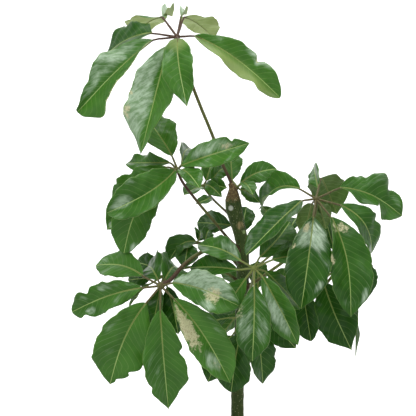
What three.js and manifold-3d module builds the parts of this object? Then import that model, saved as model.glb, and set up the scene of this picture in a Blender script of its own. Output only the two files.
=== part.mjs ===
// An umbrella plant (Schefflera) standing in a plain tapered pot. Millimetres, +Z up.
// The origin is the middle of the pot's underside. Seen from the front, +X is to the right
// and +Y runs away from the viewer.
//
// The pot is a lathe-turned wall with a rounded lip, filled with potting soil. One trunk stands
// in a hole in the soil. Every leaf is one solid: a long stalk (petiole) that springs from the
// trunk, a hub at its far end, and a whorl of short-stalked blades (leaflets) round the hub.

import * as THREE from 'three';
import { mergeVertices } from 'three/addons/utils/BufferGeometryUtils.js';
import Module from 'manifold-3d';

const wasm = await Module();
wasm.setup();

// ---------------------------------------------------------------- driving dimensions

const GAP = 0.35; // clearance between neighbouring solids
const SLIVER = 0.05; // corners nearer together than this are merged where pieces are joined

const POT_HEIGHT = 215;
const POT_TOP_RADIUS = 130;
const POT_FOOT_RADIUS = 94;
const POT_FOOT_ROUND = 4;
const POT_WALL = 8;
const POT_FLOOR = 10;
const POT_SIDES = 40;

const SOIL_DEPTH_BELOW_LIP = 18;
const SOIL_CROWN = 6; // how much higher the soil lies at the trunk than at the wall
const SOIL_SHOULDER = 0.75; // share of that height reached half way out
const TRUNK_FOOT = 180; // height of the trunk's buried end
const TRUNK_FOOT_RADIUS = 14;

// The trunk's middle line, from its foot in the soil to its growing tip, with its radius there.
const TRUNK = [
  { at: [0, 0, TRUNK_FOOT], radius: TRUNK_FOOT_RADIUS },
  { at: [0, 0, 225], radius: 13.5 },
  { at: [0, 0, 300], radius: 13 },
  { at: [4, 0, 396], radius: 12.5 },
  { at: [8, 0, 480], radius: 12.5 },
  { at: [10, 0, 522], radius: 12.5 },
  { at: [10, 0, 566], radius: 13 },
  { at: [9, 0, 600], radius: 13 },
  { at: [0, 0, 640], radius: 14 },
  { at: [-8, 0, 672], radius: 17 },
  { at: [-10, 0, 690], radius: 17 },
  { at: [-10, 0, 704], radius: 12 },
  { at: [-9, 0, 713], radius: 8 },
];
const TRUNK_SIDES = 12;
const TRUNK_RINGS = 22;
const HEIGHT_SLACK = 0.01; // a height this little above a row of the table belongs to that row

const STALK_SIDES = 6;
const STALK_STEP = 22; // longest stretch of a stalk between two rings
const STALK_FLARE = 2.3; // how much wider a stalk is where it clasps the trunk
const STALK_FLARE_LENGTH = 34;
const STALK_FLARE_POWER = 1.5; // over 1, the flare opens slowly and then quickly
const HUB_SCALE = 1.7; // hub radius over stalk radius

const BLADE_THICKNESS = 1.2;
const BLADE_TIP_HALF = 0.7; // half the width of a blade's very tip
const BLADE_STALK_RADIUS = 2; // at the hub
const BLADE_STALK_END_RADIUS = 1.5; // where the blade begins
const BLADE_BELLY = 0.55; // the widest place, as a share of the blade's length
const BASE_LENGTHENING = 0.9; // under 1, a blade widens sooner from its base
const BASE_ROUNDING = 0.8; // under 1, its base is round rather than wedge-shaped
const TIP_DELAY = 1.25; // over 1, it stays wide for longer beyond the belly
const BOW_PEAK = 0.85; // under 1, a midrib's bow is highest before the middle
const MARGIN_WAVE_ONSET = 1.3; // how soon the waves reach full height from either end
const MARGIN_WAVES = 2.3; // waves along each margin
const MARGIN_WAVE_HEIGHT = 0.045; // height of a usual margin wave over the blade's width
const BLADE_PHASE_STEP = 1.7; // how far the waves move on from one blade to the next (radians)
const RIGHT_MARGIN_PHASE = 0.9; // how far a right margin's waves lead its left margin's
const STATION_STEP = 22; // blade length for each cross-section
const TANGENT_STEP = 0.01; // the share of a blade over which its direction is measured
const FEWEST_STATIONS = 4;
const MOST_STATIONS = 9;

// One blade of a leaf. base and tip are measured from the leaf's hub. arch lifts the midrib off
// the straight line from base to tip, and sweep bends it sideways. roll turns the blade about
// that line, twist winds it from base to tip, and fold lifts the two halves into a V (degrees).
// A tipPower under 1 gives a blunt tip and one over 1 a drawn-out one.
function blade(base, tip, width, arch, roll, twist, sweep, fold, tipPower = 1,
  wave = MARGIN_WAVE_HEIGHT) {
  return { base, tip, width, arch, roll, twist, sweep, fold, tipPower, wave };
}

// The leaves, from the highest to the lowest. facing is the way their upper faces look.
const LEAVES = [
  {
    name: 'leaf_top',
    hub: [-121, 0, 1013],
    facing: [0, -0.15, 1],
    stalkRadius: 3.6,
    stalk: [
      [-96, 2, 932], [-76, 2, 879], [-50, 0, 816], [-32, -2, 764], [-18, -2, 734], [-8, 0, 708],
      [-7, 0, 696],
    ],
    blades: [
      blade([-47, -15, -7], [-186, -40, -158], 92, 8, -40, -50, 0, 35, 0.5),
      blade([-50, 15, 8], [-150, 110, -30], 84, 12, -45, -25, 0, 10),
      blade([-32, 50, 43], [-96, 160, 17], 84, 6, 5, 20, 0, 10),
      blade([-31, 75, 47], [-30, 170, 57], 34, 4, 0, 0, 0, 50),
      blade([13, 50, 43], [74, 165, 9], 74, 6, -12, 0, 0, 10),
      blade([34, -10, 1], [202, -30, -120], 68, 6, 58, 10, -10, 30, 0.6, 0.1),
      blade([-16, -55, -21], [-68, -75, -228], 108, 8, -15, 60, -5, 25),
      blade([3, -50, -7], [22, -130, -138], 72, 14, 15, 5, 4, 30, 1.3),
      blade([6, 75, 49], [2, 150, 60], 24, 3, 0, 0, 0, 50),
    ],
  },
  {
    name: 'leaf_left',
    hub: [-119, -60, 754],
    facing: [0, -0.7, 0.7],
    stalkRadius: 3,
    stalk: [
      [-112, -58, 734], [-82, -46, 692], [-52, -34, 655], [-24, -22, 620], [6, -5, 586],
    ],
    blades: [
      blade([-11, 10, 26], [-70, 65, 106], 80, 8, 10, 0, -2, 15),
      blade([-15, 22, 12], [-107, 120, 7], 42, 8, -15, 20, -6, 20, 1, 0.14),
      blade([-21, 15, 4], [-134, 70, -61], 64, 10, -45, -20, 0, 20),
      blade([-4, -20, 0], [-131, -70, -78], 86, 10, -20, -30, -12, 35, 0.6),
      blade([-19, 5, -11], [-139, 15, -119], 74, 8, -50, 40, 10, 15),
      blade([-24, -15, -19], [-103, -25, -160], 76, 8, -30, 30, 20, 15, 0.6),
      blade([7, -20, 8], [138, -50, 53], 58, 8, 30, 50, 0, 25, 1, 0.1),
      blade([7, -25, 1], [44, -90, -30], 44, 8, -5, 0, 0, 20),
      blade([8, 20, 10], [22, 110, 38], 40, 4, 40, -30, -8, 25),
    ],
  },
  {
    name: 'leaf_right',
    hub: [149, -70, 698],
    facing: [0, -0.35, 1],
    stalkRadius: 3.4,
    stalk: [
      [148, -64, 672], [136, -48, 631], [102, -30, 581], [56, -16, 543], [10, -4, 509],
    ],
    blades: [
      blade([-30, 10, 18], [-101, 110, -24], 72, 18, -40, -40, 10, 25, 0.6),
      blade([-28, -10, -3], [-138, -90, -98], 62, 12, 0, 15, -8, 25, 0.6),
      blade([7, 30, 19], [6, 110, 58], 38, 4, -60, -30, 4, 20),
      blade([14, 50, 37], [55, 120, -41], 84, 18, -35, -10, -4, 20),
      blade([48, 15, 20], [179, 70, -40], 94, 10, 38, 30, -8, 20, 1, 0.1),
      blade([45, -15, -11], [112, 15, -106], 68, 24, 35, 0, -2, 15, 0.7),
      blade([25, -35, -32], [61, -70, -218], 96, 12, 5, 40, -10, 30),
      blade([-9, -40, -32], [-34, -80, -201], 94, 10, -15, 30, 0, 25),
      blade([-4, 40, -13], [-18, 90, -84], 50, 6, 50, 0, 0, 15),
      blade([10, 40, -13], [30, 90, -68], 44, 6, -45, -15, 0, 15),
    ],
  },
  {
    name: 'leaf_front',
    hub: [26, -150, 574],
    facing: [0, -0.9, 0.6],
    stalkRadius: 3.2,
    stalk: [
      [27, -125, 559], [22, -60, 518], [8, -6, 479],
    ],
    blades: [
      blade([-24, 5, 13], [-106, 90, 33], 54, 8, 0, 30, 4, 20),
      blade([11, 5, 20], [74, 100, 77], 46, 8, 10, 0, 4, 10),
      blade([34, 4, 15], [129, 90, 11], 52, 8, 0, 0, 0, 20),
      blade([-30, 5, -4], [-121, 90, -12], 46, 8, -10, 0, 0, 20),
      blade([-15, 0, -19], [-59, 40, -92], 50, 6, 0, 10, -2, 15),
      blade([0, -15, -31], [-4, -35, -169], 72, 8, 5, 0, -2, 25),
      blade([15, -8, -14], [83, -10, -144], 60, 8, 30, 30, -4, 30),
      blade([21, 10, -7], [93, 75, -91], 52, 8, -20, -20, 6, 15),
    ],
  },
  {
    name: 'leaf_low_left',
    hub: [-149, -140, 539],
    facing: [0, -0.75, 0.66],
    stalkRadius: 4.4,
    stalk: [
      [-132, -128, 548], [-110, -104, 570], [-85, -68, 586], [-60, -38, 594], [-24, -18, 588],
      [10, -4, 566],
    ],
    blades: [
      blade([-34, 10, 17], [-133, 105, 24], 62, 8, -10, 0, 8, 10),
      blade([-35, 0, -4], [-173, 45, -58], 62, 8, -30, -10, 6, 20, 0.6, 0.13),
      blade([-27, -10, -31], [-96, -10, -186], 104, 8, -30, 10, 12, 12),
      blade([0, -25, -41], [14, -10, -234], 88, 8, -5, -35, 2, 25, 1.15),
      blade([25, -15, -22], [131, -10, -184], 84, 10, 16, -20, -8, 28),
      blade([22, -10, 7], [146, -40, -31], 80, 10, 25, 40, -6, 35, 0.6),
      blade([7, 15, 9], [28, 95, 22], 70, 10, 30, -20, -6, 15),
      blade([-6, 15, 9], [-30, 95, 22], 70, 10, -30, -20, 6, 15),
    ],
  },
  {
    name: 'leaf_low_mid',
    hub: [15, -45, 460],
    facing: [0, -0.7, 0.7],
    stalkRadius: 3,
    stalk: [
      [12, -30, 433], [5, -4, 395],
    ],
    blades: [
      blade([-28, -5, -35], [-75, -25, -123], 64, 8, 5, 15, 0, 20),
      blade([-10, -17, -25], [-30, -45, -138], 80, 8, 10, -40, 0, 25, 0.7),
      blade([21, -17, -17], [32, -35, -124], 66, 8, -30, -25, 4, 15),
      blade([31, -13, 2], [95, -50, -50], 54, 8, 50, -20, -8, 15),
      blade([-31, 15, -3], [-96, 85, -41], 58, 8, -10, 30, 0, 10),
    ],
  },
  {
    name: 'leaf_low_right',
    hub: [212, 25, 562],
    facing: [0, -0.5, 0.85],
    stalkRadius: 3.2,
    stalk: [
      [180, 45, 511], [129, 48, 469], [59, 30, 425], [4, 2, 392],
    ],
    blades: [
      blade([-82, -15, -43], [-66, -50, -153], 62, 8, 40, -20, -4, 25, 0.7),
      blade([-40, -35, -36], [12, -75, -166], 84, 8, 40, 5, 2, 15, 1.3),
      blade([13, -35, -52], [24, -45, -186], 40, 6, -85, 15, 0, 10),
      blade([35, -21, 20], [48, -40, -67], 62, 8, 0, 10, 8, 15),
      blade([-13, 10, 23], [-28, 45, 81], 40, 6, -60, 15, 4, 20),
    ],
  },
  {
    name: 'leaf_back_left',
    hub: [-96, 20, 601],
    facing: [0, -0.35, 1],
    stalkRadius: 2.6,
    stalk: [
      [-66, 22, 599], [-24, 18, 579], [10, 4, 548],
    ],
    blades: [
      blade([12, -6, 3], [-42, -40, -33], 50, 12, -15, 40, 8, 25),
      blade([-4, -15, 0], [-11, -60, -42], 48, 6, -10, 0, 0, 15),
      blade([16, 20, 2], [19, 70, 17], 34, 4, 30, 0, 0, 20),
      blade([30, 20, 0], [38, 55, 21], 30, 4, 40, 0, -4, 20),
    ],
  },
  {
    name: 'leaf_behind',
    hub: [2, 60, 603],
    facing: [0, -0.3, 1],
    stalkRadius: 2.4,
    stalk: [
      [4, 40, 599], [9, 3, 592],
    ],
    blades: [
      blade([-14, 24, 27], [-85, 84, 27], 54, 4, -50, 0, 0, 20),
      blade([6, 4, 14], [18, 40, 65], 46, 4, 15, 10, 0, 20),
    ],
  },
  {
    name: 'leaf_inner',
    hub: [-70, 60, 714],
    facing: [0, -0.35, 1],
    stalkRadius: 2.6,
    stalk: [
      [-52, 50, 690], [-20, 20, 662], [-8, 3, 652],
    ],
    blades: [
      blade([-2, -5, -2], [-38, -60, -14], 38, 4, -10, 0, 0, 20),
      blade([16, -25, -21], [-14, -60, -32], 24, 4, -20, 10, -4, 20),
      blade([4, -5, 2], [38, -45, -19], 28, 6, 60, 0, -6, 20),
      blade([14, 0, 4], [48, -40, -1], 34, 6, 60, 0, 0, 20),
      blade([6, 5, 10], [18, 50, 51], 40, 6, 20, 0, 0, 15),
      blade([18, 5, 8], [45, 40, 35], 36, 6, 50, 0, -6, 20),
    ],
  },
  {
    name: 'leaf_young',
    hub: [-1, 26, 714],
    facing: [0, -0.3, 1],
    stalkRadius: 2.2,
    stalk: [
      [-4, 16, 705], [-7, 3, 692],
    ],
    blades: [
      blade([6, -4, 7], [82, 34, 35], 44, 4, 60, -20, -8, 10),
      blade([11, -16, 9], [29, -76, -10], 32, 6, 0, 0, 0, 20),
      blade([6, -4, -5], [44, -36, -29], 30, 6, 75, 0, -8, 20),
      blade([-10, 9, 14], [-12, 54, 81], 50, 4, 30, 0, -4, 15),
    ],
  },
  {
    name: 'leaf_hanging',
    hub: [-147, -40, 543],
    facing: [0, -0.6, 0.8],
    stalkRadius: 2.8,
    stalk: [
      [-106, -22, 556], [-46, 2, 553], [11, 3, 520],
    ],
    blades: [
      blade([-3, 18, 9], [-57, 60, 19], 48, 8, -40, 0, 0, 15),
      blade([-7, -20, -21], [-26, -35, -111], 46, 6, 20, -20, -6, 20),
      blade([7, -20, -19], [29, -38, -109], 52, 6, 40, 0, -6, 15),
      blade([-24, 5, -3], [-73, 30, -13], 34, 6, -50, 0, 0, 15),
      blade([-27, -5, -15], [-70, 10, -64], 36, 6, 60, -20, 4, 10),
    ],
  },
  {
    name: 'leaf_far',
    hub: [117, 110, 597],
    facing: [0, 0.1, 1],
    stalkRadius: 2.6,
    stalk: [
      [80, 88, 574], [38, 40, 547], [11, 4, 520],
    ],
    blades: [
      blade([-24, -10, 18], [-65, -20, 73], 46, 6, 20, 20, 4, 15),
      blade([-2, 10, 18], [13, 40, 42], 46, 4, 0, 0, 0, 20),
    ],
  },
  {
    name: 'leaf_rear',
    hub: [49, 175, 458],
    facing: [0, 0.8, 0.6],
    stalkRadius: 3,
    stalk: [
      [44, 120, 454], [27, 60, 440], [5, 4, 422],
    ],
    blades: [
      blade([26, 5, -1], [102, -10, -7], 46, 10, 0, 0, 0, 18),
      blade([18, 5, 18], [79, -10, 62], 46, 10, 0, 0, 0, 18),
      blade([0, 5, 25], [-1, -10, 86], 46, 10, 0, 0, 0, 18),
      blade([-19, 5, 18], [-81, -10, 62], 46, 10, 0, 0, 0, 18),
      blade([-26, 5, -1], [-104, -10, -7], 46, 10, 0, 0, 0, 18),
      blade([-18, 5, -20], [-77, -10, -73], 46, 10, 0, 0, 0, 18),
      blade([0, 5, -28], [0, -10, -101], 46, 10, 0, 0, 0, 18),
      blade([19, 5, -20], [76, -10, -73], 46, 10, 0, 0, 0, 18),
    ],
  },
];

// ---------------------------------------------------------------- materials

function material(name, color, roughness) {
  return new THREE.MeshStandardMaterial({ name, color, roughness, metalness: 0 });
}

const STONEWARE = material('stoneware', 0xb9b2a6, 0.7);
const POTTING_SOIL = material('potting_soil', 0x3a2c20, 0.95);
const GREEN_BARK = material('green_bark', 0x6c6a38, 0.75);
const LEAF_GREEN = material('leaf_green', 0x2f6a2c, 0.35);

// ---------------------------------------------------------------- small maths

const vector = (point) => new THREE.Vector3(...point);
const degrees = THREE.MathUtils.degToRad;
const mix = THREE.MathUtils.lerp;

function solidFrom(geometry) {
  const bare = geometry.clone();
  bare.deleteAttribute('normal');
  bare.deleteAttribute('uv');
  const merged = mergeVertices(bare, 1e-3);
  return new wasm.Manifold(new wasm.Mesh({
    numProp: 3,
    vertProperties: merged.attributes.position.array,
    triVerts: new Uint32Array(merged.index.array),
  }));
}

function geometryFrom(solid) {
  const { vertProperties, triVerts } = solid.getMesh();
  const geometry = new THREE.BufferGeometry();
  geometry.setAttribute('position', new THREE.BufferAttribute(vertProperties, 3));
  geometry.setIndex(new THREE.BufferAttribute(triVerts, 1));
  return geometry.toNonIndexed();
}

// ---------------------------------------------------------------- lofted bodies

// A closed body through a row of rings, whose points go round the way of travel like a
// right-hand screw. Each four-cornered patch is split from its near first corner, except on
// the sides that crossLeaning picks.
function loft(rings, crossLeaning = () => false) {
  const sides = rings[0].length;
  const last = rings.length - 1;
  const at = (ring, side) => ring * sides + (side % sides);
  const triangles = [];
  for (let side = 1; side < sides - 1; side += 1) {
    triangles.push(at(0, 0), at(0, side + 1), at(0, side));
    triangles.push(at(last, 0), at(last, side), at(last, side + 1));
  }
  for (let ring = 0; ring < last; ring += 1) {
    for (let side = 0; side < sides; side += 1) {
      const [a, b] = [at(ring, side), at(ring, side + 1)];
      const [c, d] = [at(ring + 1, side + 1), at(ring + 1, side)];
      if (crossLeaning(side)) triangles.push(a, b, d, b, c, d);
      else triangles.push(a, b, c, a, c, d);
    }
  }
  const geometry = new THREE.BufferGeometry();
  const positions = rings.flat().flatMap((point) => point.toArray());
  geometry.setAttribute('position', new THREE.Float32BufferAttribute(positions, 3));
  geometry.setIndex(triangles);
  return solidFrom(geometry);
}

// A round limb along a curve, whose radius is a function of the share of its length.
function limb(curve, radiusAt, sides, steps) {
  const frames = curve.computeFrenetFrames(steps, false);
  const rings = Array.from({ length: steps + 1 }, (_, step) => {
    const centre = curve.getPointAt(step / steps);
    const radius = radiusAt(step / steps);
    return Array.from({ length: sides }, (__, side) => {
      const angle = (2 * Math.PI * side) / sides;
      return centre.clone().addScaledVector(frames.normals[step], radius * Math.cos(angle))
        .addScaledVector(frames.binormals[step], radius * Math.sin(angle));
    });
  });
  return loft(rings);
}

// ---------------------------------------------------------------- pot and soil

// The radius of the pot's outer face at a height, straight from foot to lip.
const potRadius = (height) => mix(POT_FOOT_RADIUS, POT_TOP_RADIUS, height / POT_HEIGHT);

function turned(profile, sides) {
  const points = profile.map(([radius, height]) => new THREE.Vector2(radius, height));
  return new THREE.LatheGeometry(points, sides).rotateX(Math.PI / 2);
}

// A quarter or half round of a profile, from one angle to another.
function round(centre, radius, from, to, steps) {
  return Array.from({ length: steps + 1 }, (_, step) => {
    const angle = degrees(mix(from, to, step / steps));
    return [centre[0] + radius * Math.cos(angle), centre[1] + radius * Math.sin(angle)];
  });
}

function potGeometry() {
  const lipRadius = POT_WALL / 2;
  const lipHeight = POT_HEIGHT - lipRadius;
  const footCentre = [POT_FOOT_RADIUS - POT_FOOT_ROUND, POT_FOOT_ROUND];
  return turned([
    [0, 0],
    ...round(footCentre, POT_FOOT_ROUND, -90, 0, 2),
    ...round([potRadius(lipHeight) - lipRadius, lipHeight], lipRadius, 0, 180, 4),
    [potRadius(POT_FLOOR) - POT_WALL, POT_FLOOR],
    [0, POT_FLOOR],
  ], POT_SIDES);
}

function soilGeometry() {
  const bottom = POT_FLOOR + GAP;
  const edgeHeight = POT_HEIGHT - SOIL_DEPTH_BELOW_LIP;
  const innerRadius = (height) => potRadius(height) - POT_WALL - GAP;
  const holeRadius = TRUNK_FOOT_RADIUS + GAP;
  return turned([
    [0, bottom],
    [innerRadius(bottom), bottom],
    [innerRadius(edgeHeight), edgeHeight],
    [innerRadius(edgeHeight) / 2, edgeHeight + SOIL_CROWN * SOIL_SHOULDER],
    [holeRadius, edgeHeight + SOIL_CROWN],
    [holeRadius, TRUNK_FOOT - GAP],
    [0, TRUNK_FOOT - GAP],
  ], POT_SIDES);
}

// ---------------------------------------------------------------- trunk

// The trunk grown outwards by a clearance, so that a leaf's stalk can be fitted round it.
function trunkSolid(clearance) {
  const curve = new THREE.CatmullRomCurve3(TRUNK.map(({ at }) => vector(at)));
  const radiusAt = (share) => {
    const height = curve.getPointAt(share).z;
    const upper = Math.max(1, TRUNK.findIndex(({ at }) => at[2] >= height - HEIGHT_SLACK));
    const [below, above] = [TRUNK[upper - 1], TRUNK[upper]];
    const part = (height - below.at[2]) / (above.at[2] - below.at[2]);
    return mix(below.radius, above.radius, part) + clearance;
  };
  return limb(curve, radiusAt, TRUNK_SIDES, TRUNK_RINGS);
}

// ---------------------------------------------------------------- leaves

// Half the blade's width at a share t of its length, from 0 at the ends to 1 at the belly.
function outline(t, tipPower) {
  if (t <= 0 || t >= 1) return 0;
  if (t < BLADE_BELLY) {
    const before = (t / BLADE_BELLY) ** BASE_LENGTHENING;
    return Math.sin((Math.PI / 2) * before) ** BASE_ROUNDING;
  }
  const beyond = (t - BLADE_BELLY) / (1 - BLADE_BELLY);
  return Math.cos((Math.PI / 2) * beyond ** TIP_DELAY) ** tipPower;
}

const bow = (t) => (t > 0 && t < 1 ? Math.sin(Math.PI * t ** BOW_PEAK) : 0);

// A blade's own directions: along its chord, out of its upper face and to its side.
function bladeAxes(leaf, shape) {
  const base = vector(leaf.hub).add(vector(shape.base));
  const chord = vector(shape.tip).sub(vector(shape.base));
  const along = chord.clone().normalize();
  const normal = vector(leaf.facing).projectOnPlane(along).normalize();
  normal.applyAxisAngle(along, degrees(shape.roll));
  const side = along.clone().cross(normal);
  return { base, chord, along, normal, side };
}

function ribPoint(axes, shape, t) {
  return axes.base.clone().addScaledVector(axes.chord, t)
    .addScaledVector(axes.normal, shape.arch * bow(t))
    .addScaledVector(axes.side, shape.sweep * bow(t));
}

// Six points round a section: left edge, midrib and right edge above, then the same below.
function sectionRing([left, middle, right], normal, edgeHalf, middleHalf) {
  const lift = (point, height) => point.clone().addScaledVector(normal, height);
  return [
    lift(left, edgeHalf), lift(middle, middleHalf), lift(right, edgeHalf),
    lift(right, -edgeHalf), lift(middle, -middleHalf), lift(left, -edgeHalf),
  ];
}

// A six-sided ring of a blade's own short stalk.
function stalkRing(centre, side, normal, radius) {
  const reach = radius * Math.cos(Math.PI / 6);
  const across = [-reach, 0, reach].map((offset) => centre.clone().addScaledVector(side, offset));
  return sectionRing(across, normal, radius / 2, radius);
}

// The blade's cross-section at t, folded into a V, with its margins waved.
function bladeRing(axes, shape, index, t) {
  const before = ribPoint(axes, shape, Math.max(t - TANGENT_STEP, 0));
  const tangent = ribPoint(axes, shape, Math.min(t + TANGENT_STEP, 1)).sub(before).normalize();
  const wound = axes.normal.clone().applyAxisAngle(axes.along, degrees(shape.twist * (t - 0.5)));
  const side = axes.along.clone().cross(wound).projectOnPlane(tangent).normalize();
  const normal = side.clone().cross(tangent);
  const rib = ribPoint(axes, shape, t);
  if (t === 0) return stalkRing(rib, side, normal, BLADE_STALK_END_RADIUS);

  const halfWidth = Math.max(BLADE_TIP_HALF, (shape.width / 2) * outline(t, shape.tipPower));
  const fold = degrees(shape.fold);
  const [left, right] = [-1, 1].map((hand) => {
    const phase = index * BLADE_PHASE_STEP + (hand > 0 ? RIGHT_MARGIN_PHASE : 0);
    const wave = shape.wave * shape.width * Math.sin(2 * Math.PI * MARGIN_WAVES * t + phase);
    const lift = halfWidth * Math.sin(fold) + wave * Math.min(1, MARGIN_WAVE_ONSET * outline(t, 1));
    return rib.clone().addScaledVector(side, hand * halfWidth * Math.cos(fold))
      .addScaledVector(normal, lift);
  });
  const half = BLADE_THICKNESS / 2;
  return sectionRing([left, rib, right], normal, half, mix(BLADE_STALK_END_RADIUS, half, t));
}

// Where a blade's cross-sections lie, from its base to its tip, closer together at both ends.
function bladeStations(length) {
  const wanted = Math.round(length / STATION_STEP);
  const gaps = THREE.MathUtils.clamp(wanted, FEWEST_STATIONS, MOST_STATIONS) + 1;
  return Array.from({ length: gaps + 1 }, (_, i) => (1 - Math.cos((Math.PI * i) / gaps)) / 2);
}

// One leaflet: its short stalk from the hub, then the blade. The upper and lower faces are
// split into triangles alike, so that they never meet.
function leafletSolid(leaf, shape, index) {
  const axes = bladeAxes(leaf, shape);
  const hub = vector(leaf.hub);
  const stalkWay = axes.base.clone().sub(hub).normalize();
  const side = axes.side.clone().projectOnPlane(stalkWay).normalize();
  const normal = side.clone().cross(stalkWay);
  const rings = [
    stalkRing(hub, side, normal, BLADE_STALK_RADIUS),
    ...bladeStations(axes.chord.length()).map((t) => bladeRing(axes, shape, index, t)),
  ];
  return loft(rings, (place) => place % 3 === 1);
}

function stalkSolid(leaf) {
  const places = [leaf.hub, ...leaf.stalk].map(vector);
  const curve = new THREE.CatmullRomCurve3(places, false, 'centripetal');
  const length = curve.getLength();
  const radiusAt = (share) => {
    const toTrunk = (1 - share) * length;
    const flare = Math.max(0, 1 - toTrunk / STALK_FLARE_LENGTH) ** STALK_FLARE_POWER;
    return leaf.stalkRadius * mix(1, STALK_FLARE, flare);
  };
  return limb(curve, radiusAt, STALK_SIDES, Math.max(4, Math.ceil(length / STALK_STEP)));
}

function hubSolid(leaf) {
  const ball = new THREE.IcosahedronGeometry(leaf.stalkRadius * HUB_SCALE, 0);
  return solidFrom(ball.translate(...leaf.hub));
}

function leafSolid(leaf, trunkSleeve) {
  const pieces = [
    stalkSolid(leaf),
    hubSolid(leaf),
    ...leaf.blades.map((shape, index) => leafletSolid(leaf, shape, index)),
  ];
  const joined = pieces.reduce((whole, piece) => whole.add(piece));
  return joined.subtract(trunkSleeve).simplify(SLIVER);
}

// ---------------------------------------------------------------- the plant in its pot

const plant = new THREE.Group();

function addNode(name, geometry, finish) {
  const mesh = new THREE.Mesh(geometry, finish);
  mesh.name = name;
  plant.add(mesh);
}

addNode('pot', potGeometry(), STONEWARE);
addNode('soil', soilGeometry(), POTTING_SOIL);
addNode('trunk', geometryFrom(trunkSolid(0)), GREEN_BARK);

const trunkSleeve = trunkSolid(GAP);
LEAVES.forEach((leaf) => {
  addNode(leaf.name, geometryFrom(leafSolid(leaf, trunkSleeve)), LEAF_GREEN);
});

export default plant;
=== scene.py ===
"""Looks of a potted umbrella plant (Schefflera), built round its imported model.

Laid out as an add-on: each group of like pieces has its own operator, and the sizes and colours
that a user would change are properties. Lengths are metres, except in the layout and wherever a
name ends in _mm, where they are millimetres.
"""

import math

import bpy
import numpy as np
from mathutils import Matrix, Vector


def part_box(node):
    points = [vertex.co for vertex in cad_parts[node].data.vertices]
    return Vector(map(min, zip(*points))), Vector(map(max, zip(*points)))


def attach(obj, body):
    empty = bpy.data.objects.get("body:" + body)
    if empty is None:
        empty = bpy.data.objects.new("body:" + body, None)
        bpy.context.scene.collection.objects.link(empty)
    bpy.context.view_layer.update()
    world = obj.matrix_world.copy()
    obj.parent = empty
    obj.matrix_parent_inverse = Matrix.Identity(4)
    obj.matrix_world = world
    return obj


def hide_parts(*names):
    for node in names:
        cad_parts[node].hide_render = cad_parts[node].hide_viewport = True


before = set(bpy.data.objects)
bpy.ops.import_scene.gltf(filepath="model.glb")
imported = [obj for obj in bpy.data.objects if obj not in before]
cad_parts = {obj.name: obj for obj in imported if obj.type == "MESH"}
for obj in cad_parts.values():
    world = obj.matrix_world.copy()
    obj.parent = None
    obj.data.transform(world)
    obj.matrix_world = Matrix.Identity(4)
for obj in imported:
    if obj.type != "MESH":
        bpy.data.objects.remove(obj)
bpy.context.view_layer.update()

bl_info = {
    "name": "Potted Umbrella Plant",
    "version": (1, 0, 0),
    "blender": (4, 5, 0),
    "location": "3D View > Sidebar > Plant",
    "description": "Builds an umbrella plant in a plain stoneware pot, with its studio",
    "category": "Object",
}

MM = 0.001

# ---------------------------------------------------------------- the plant's layout, in mm

POT_TOP_RADIUS = 130
POT_FOOT_RADIUS = 94
POT_FOOT_ROUND = 4
POT_WALL = 8
POT_FLOOR = 10
SOIL_DEPTH_BELOW_LIP = 18
SOIL_CROWN = 6  # how much higher the soil lies at the trunk than at the wall
SOIL_THICKNESS = 30  # only the soil's top layer is made
SOIL_PLAY = 0.4  # between the soil and the pot's wall
SOIL_ROUGHNESS = 1.6
CRUMBS = 260
CRUMB_SIZES = (1.0, 3.4)

# The trunk's middle line, from the soil to its growing tip: x, y, z and its radius there.
TRUNK = [
    (0, 0, 180, 14), (0, 0, 225, 13.5), (0, 0, 300, 13), (4, 0, 396, 12.5), (8, 0, 480, 12.5),
    (10, 0, 522, 12.5), (10, 0, 566, 13), (9, 0, 600, 13), (0, 0, 640, 14), (-8, 0, 672, 17),
    (-10, 0, 690, 16), (-10, 0, 704, 11.5), (-11, 0, 714, 8), (-15, -1, 724, 5.5),
]

TRUNK_SCARS = [  # heights of the rings that fallen leaves left
    232, 262, 291, 318, 345, 372, 395, 422, 452, 480, 509, 520, 548, 566, 586, 613, 638, 652,
]
SCAR_REACH = 2.2
SCAR_SWELLING = 0.7
TRUNK_UNEVENNESS = 0.12
SHEATH_BOTTOM = 676  # where the growing tip's papery sheath begins
SHEATH_FADE = 26

STALK_FLARE = 2.3  # how much wider a stalk is where it clasps the trunk
STALK_FLARE_LENGTH = 34
STALK_SLIMNESS = 0.92  # a long stalk's usual radius over the one in the table
STALK_KNEE_LENGTH = 9  # the swelling next to the hub
STALK_KNEE_SWELLING = 0.5
HUB_SCALE = 1.7  # hub radius over stalk radius
BLADE_STALK_RADII = (2.3, 2.1)  # a short stalk's radius at the hub and half way
MIDRIB_RADII = (1.5, 0.3)  # at a blade's base, and what is added to it all along
MIDRIB_SINK = 0.5  # how far a midrib lies below the upper face
MIDRIB_END = 0.97  # where it ends, as a share of the blade's length
MIDRIB_KNOTS = 22

BLADE_BELLY = 0.55  # the widest place, as a share of the blade's length
BASE_LENGTHENING = 0.9  # under 1, a blade widens sooner from its base
BASE_ROUNDING = 0.8  # under 1, its base is round rather than wedge-shaped
TIP_DELAY = 1.25  # over 1, it stays wide for longer beyond the belly
BOW_PEAK = 0.85  # under 1, a midrib's bow is highest before the middle
MARGIN_WAVE_ONSET = 1.3  # how soon the waves reach full height from either end
MARGIN_WAVES = 2.3  # waves along each margin
MARGIN_WAVE_HEIGHT = 0.045  # height of a usual margin wave over the blade's width
MARGIN_WAVE_REACH = 1.6  # over 1, the waves keep to the margin
BLADE_PHASE_STEP = 1.7  # how far the waves move on from one blade to the next (radians)
RIGHT_MARGIN_PHASE = 0.9  # how far a right margin's waves lead its left margin's
TANGENT_STEP = 0.01  # the share of a blade over which its direction is measured
NARROWEST = 0.7  # half a blade's width at its very ends
FOLD_SOFTNESS = 0.07  # how round the fold along the midrib is, as a share of the half width
CROWN = 0.10  # how far each half bulges, as a share of its width

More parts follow.
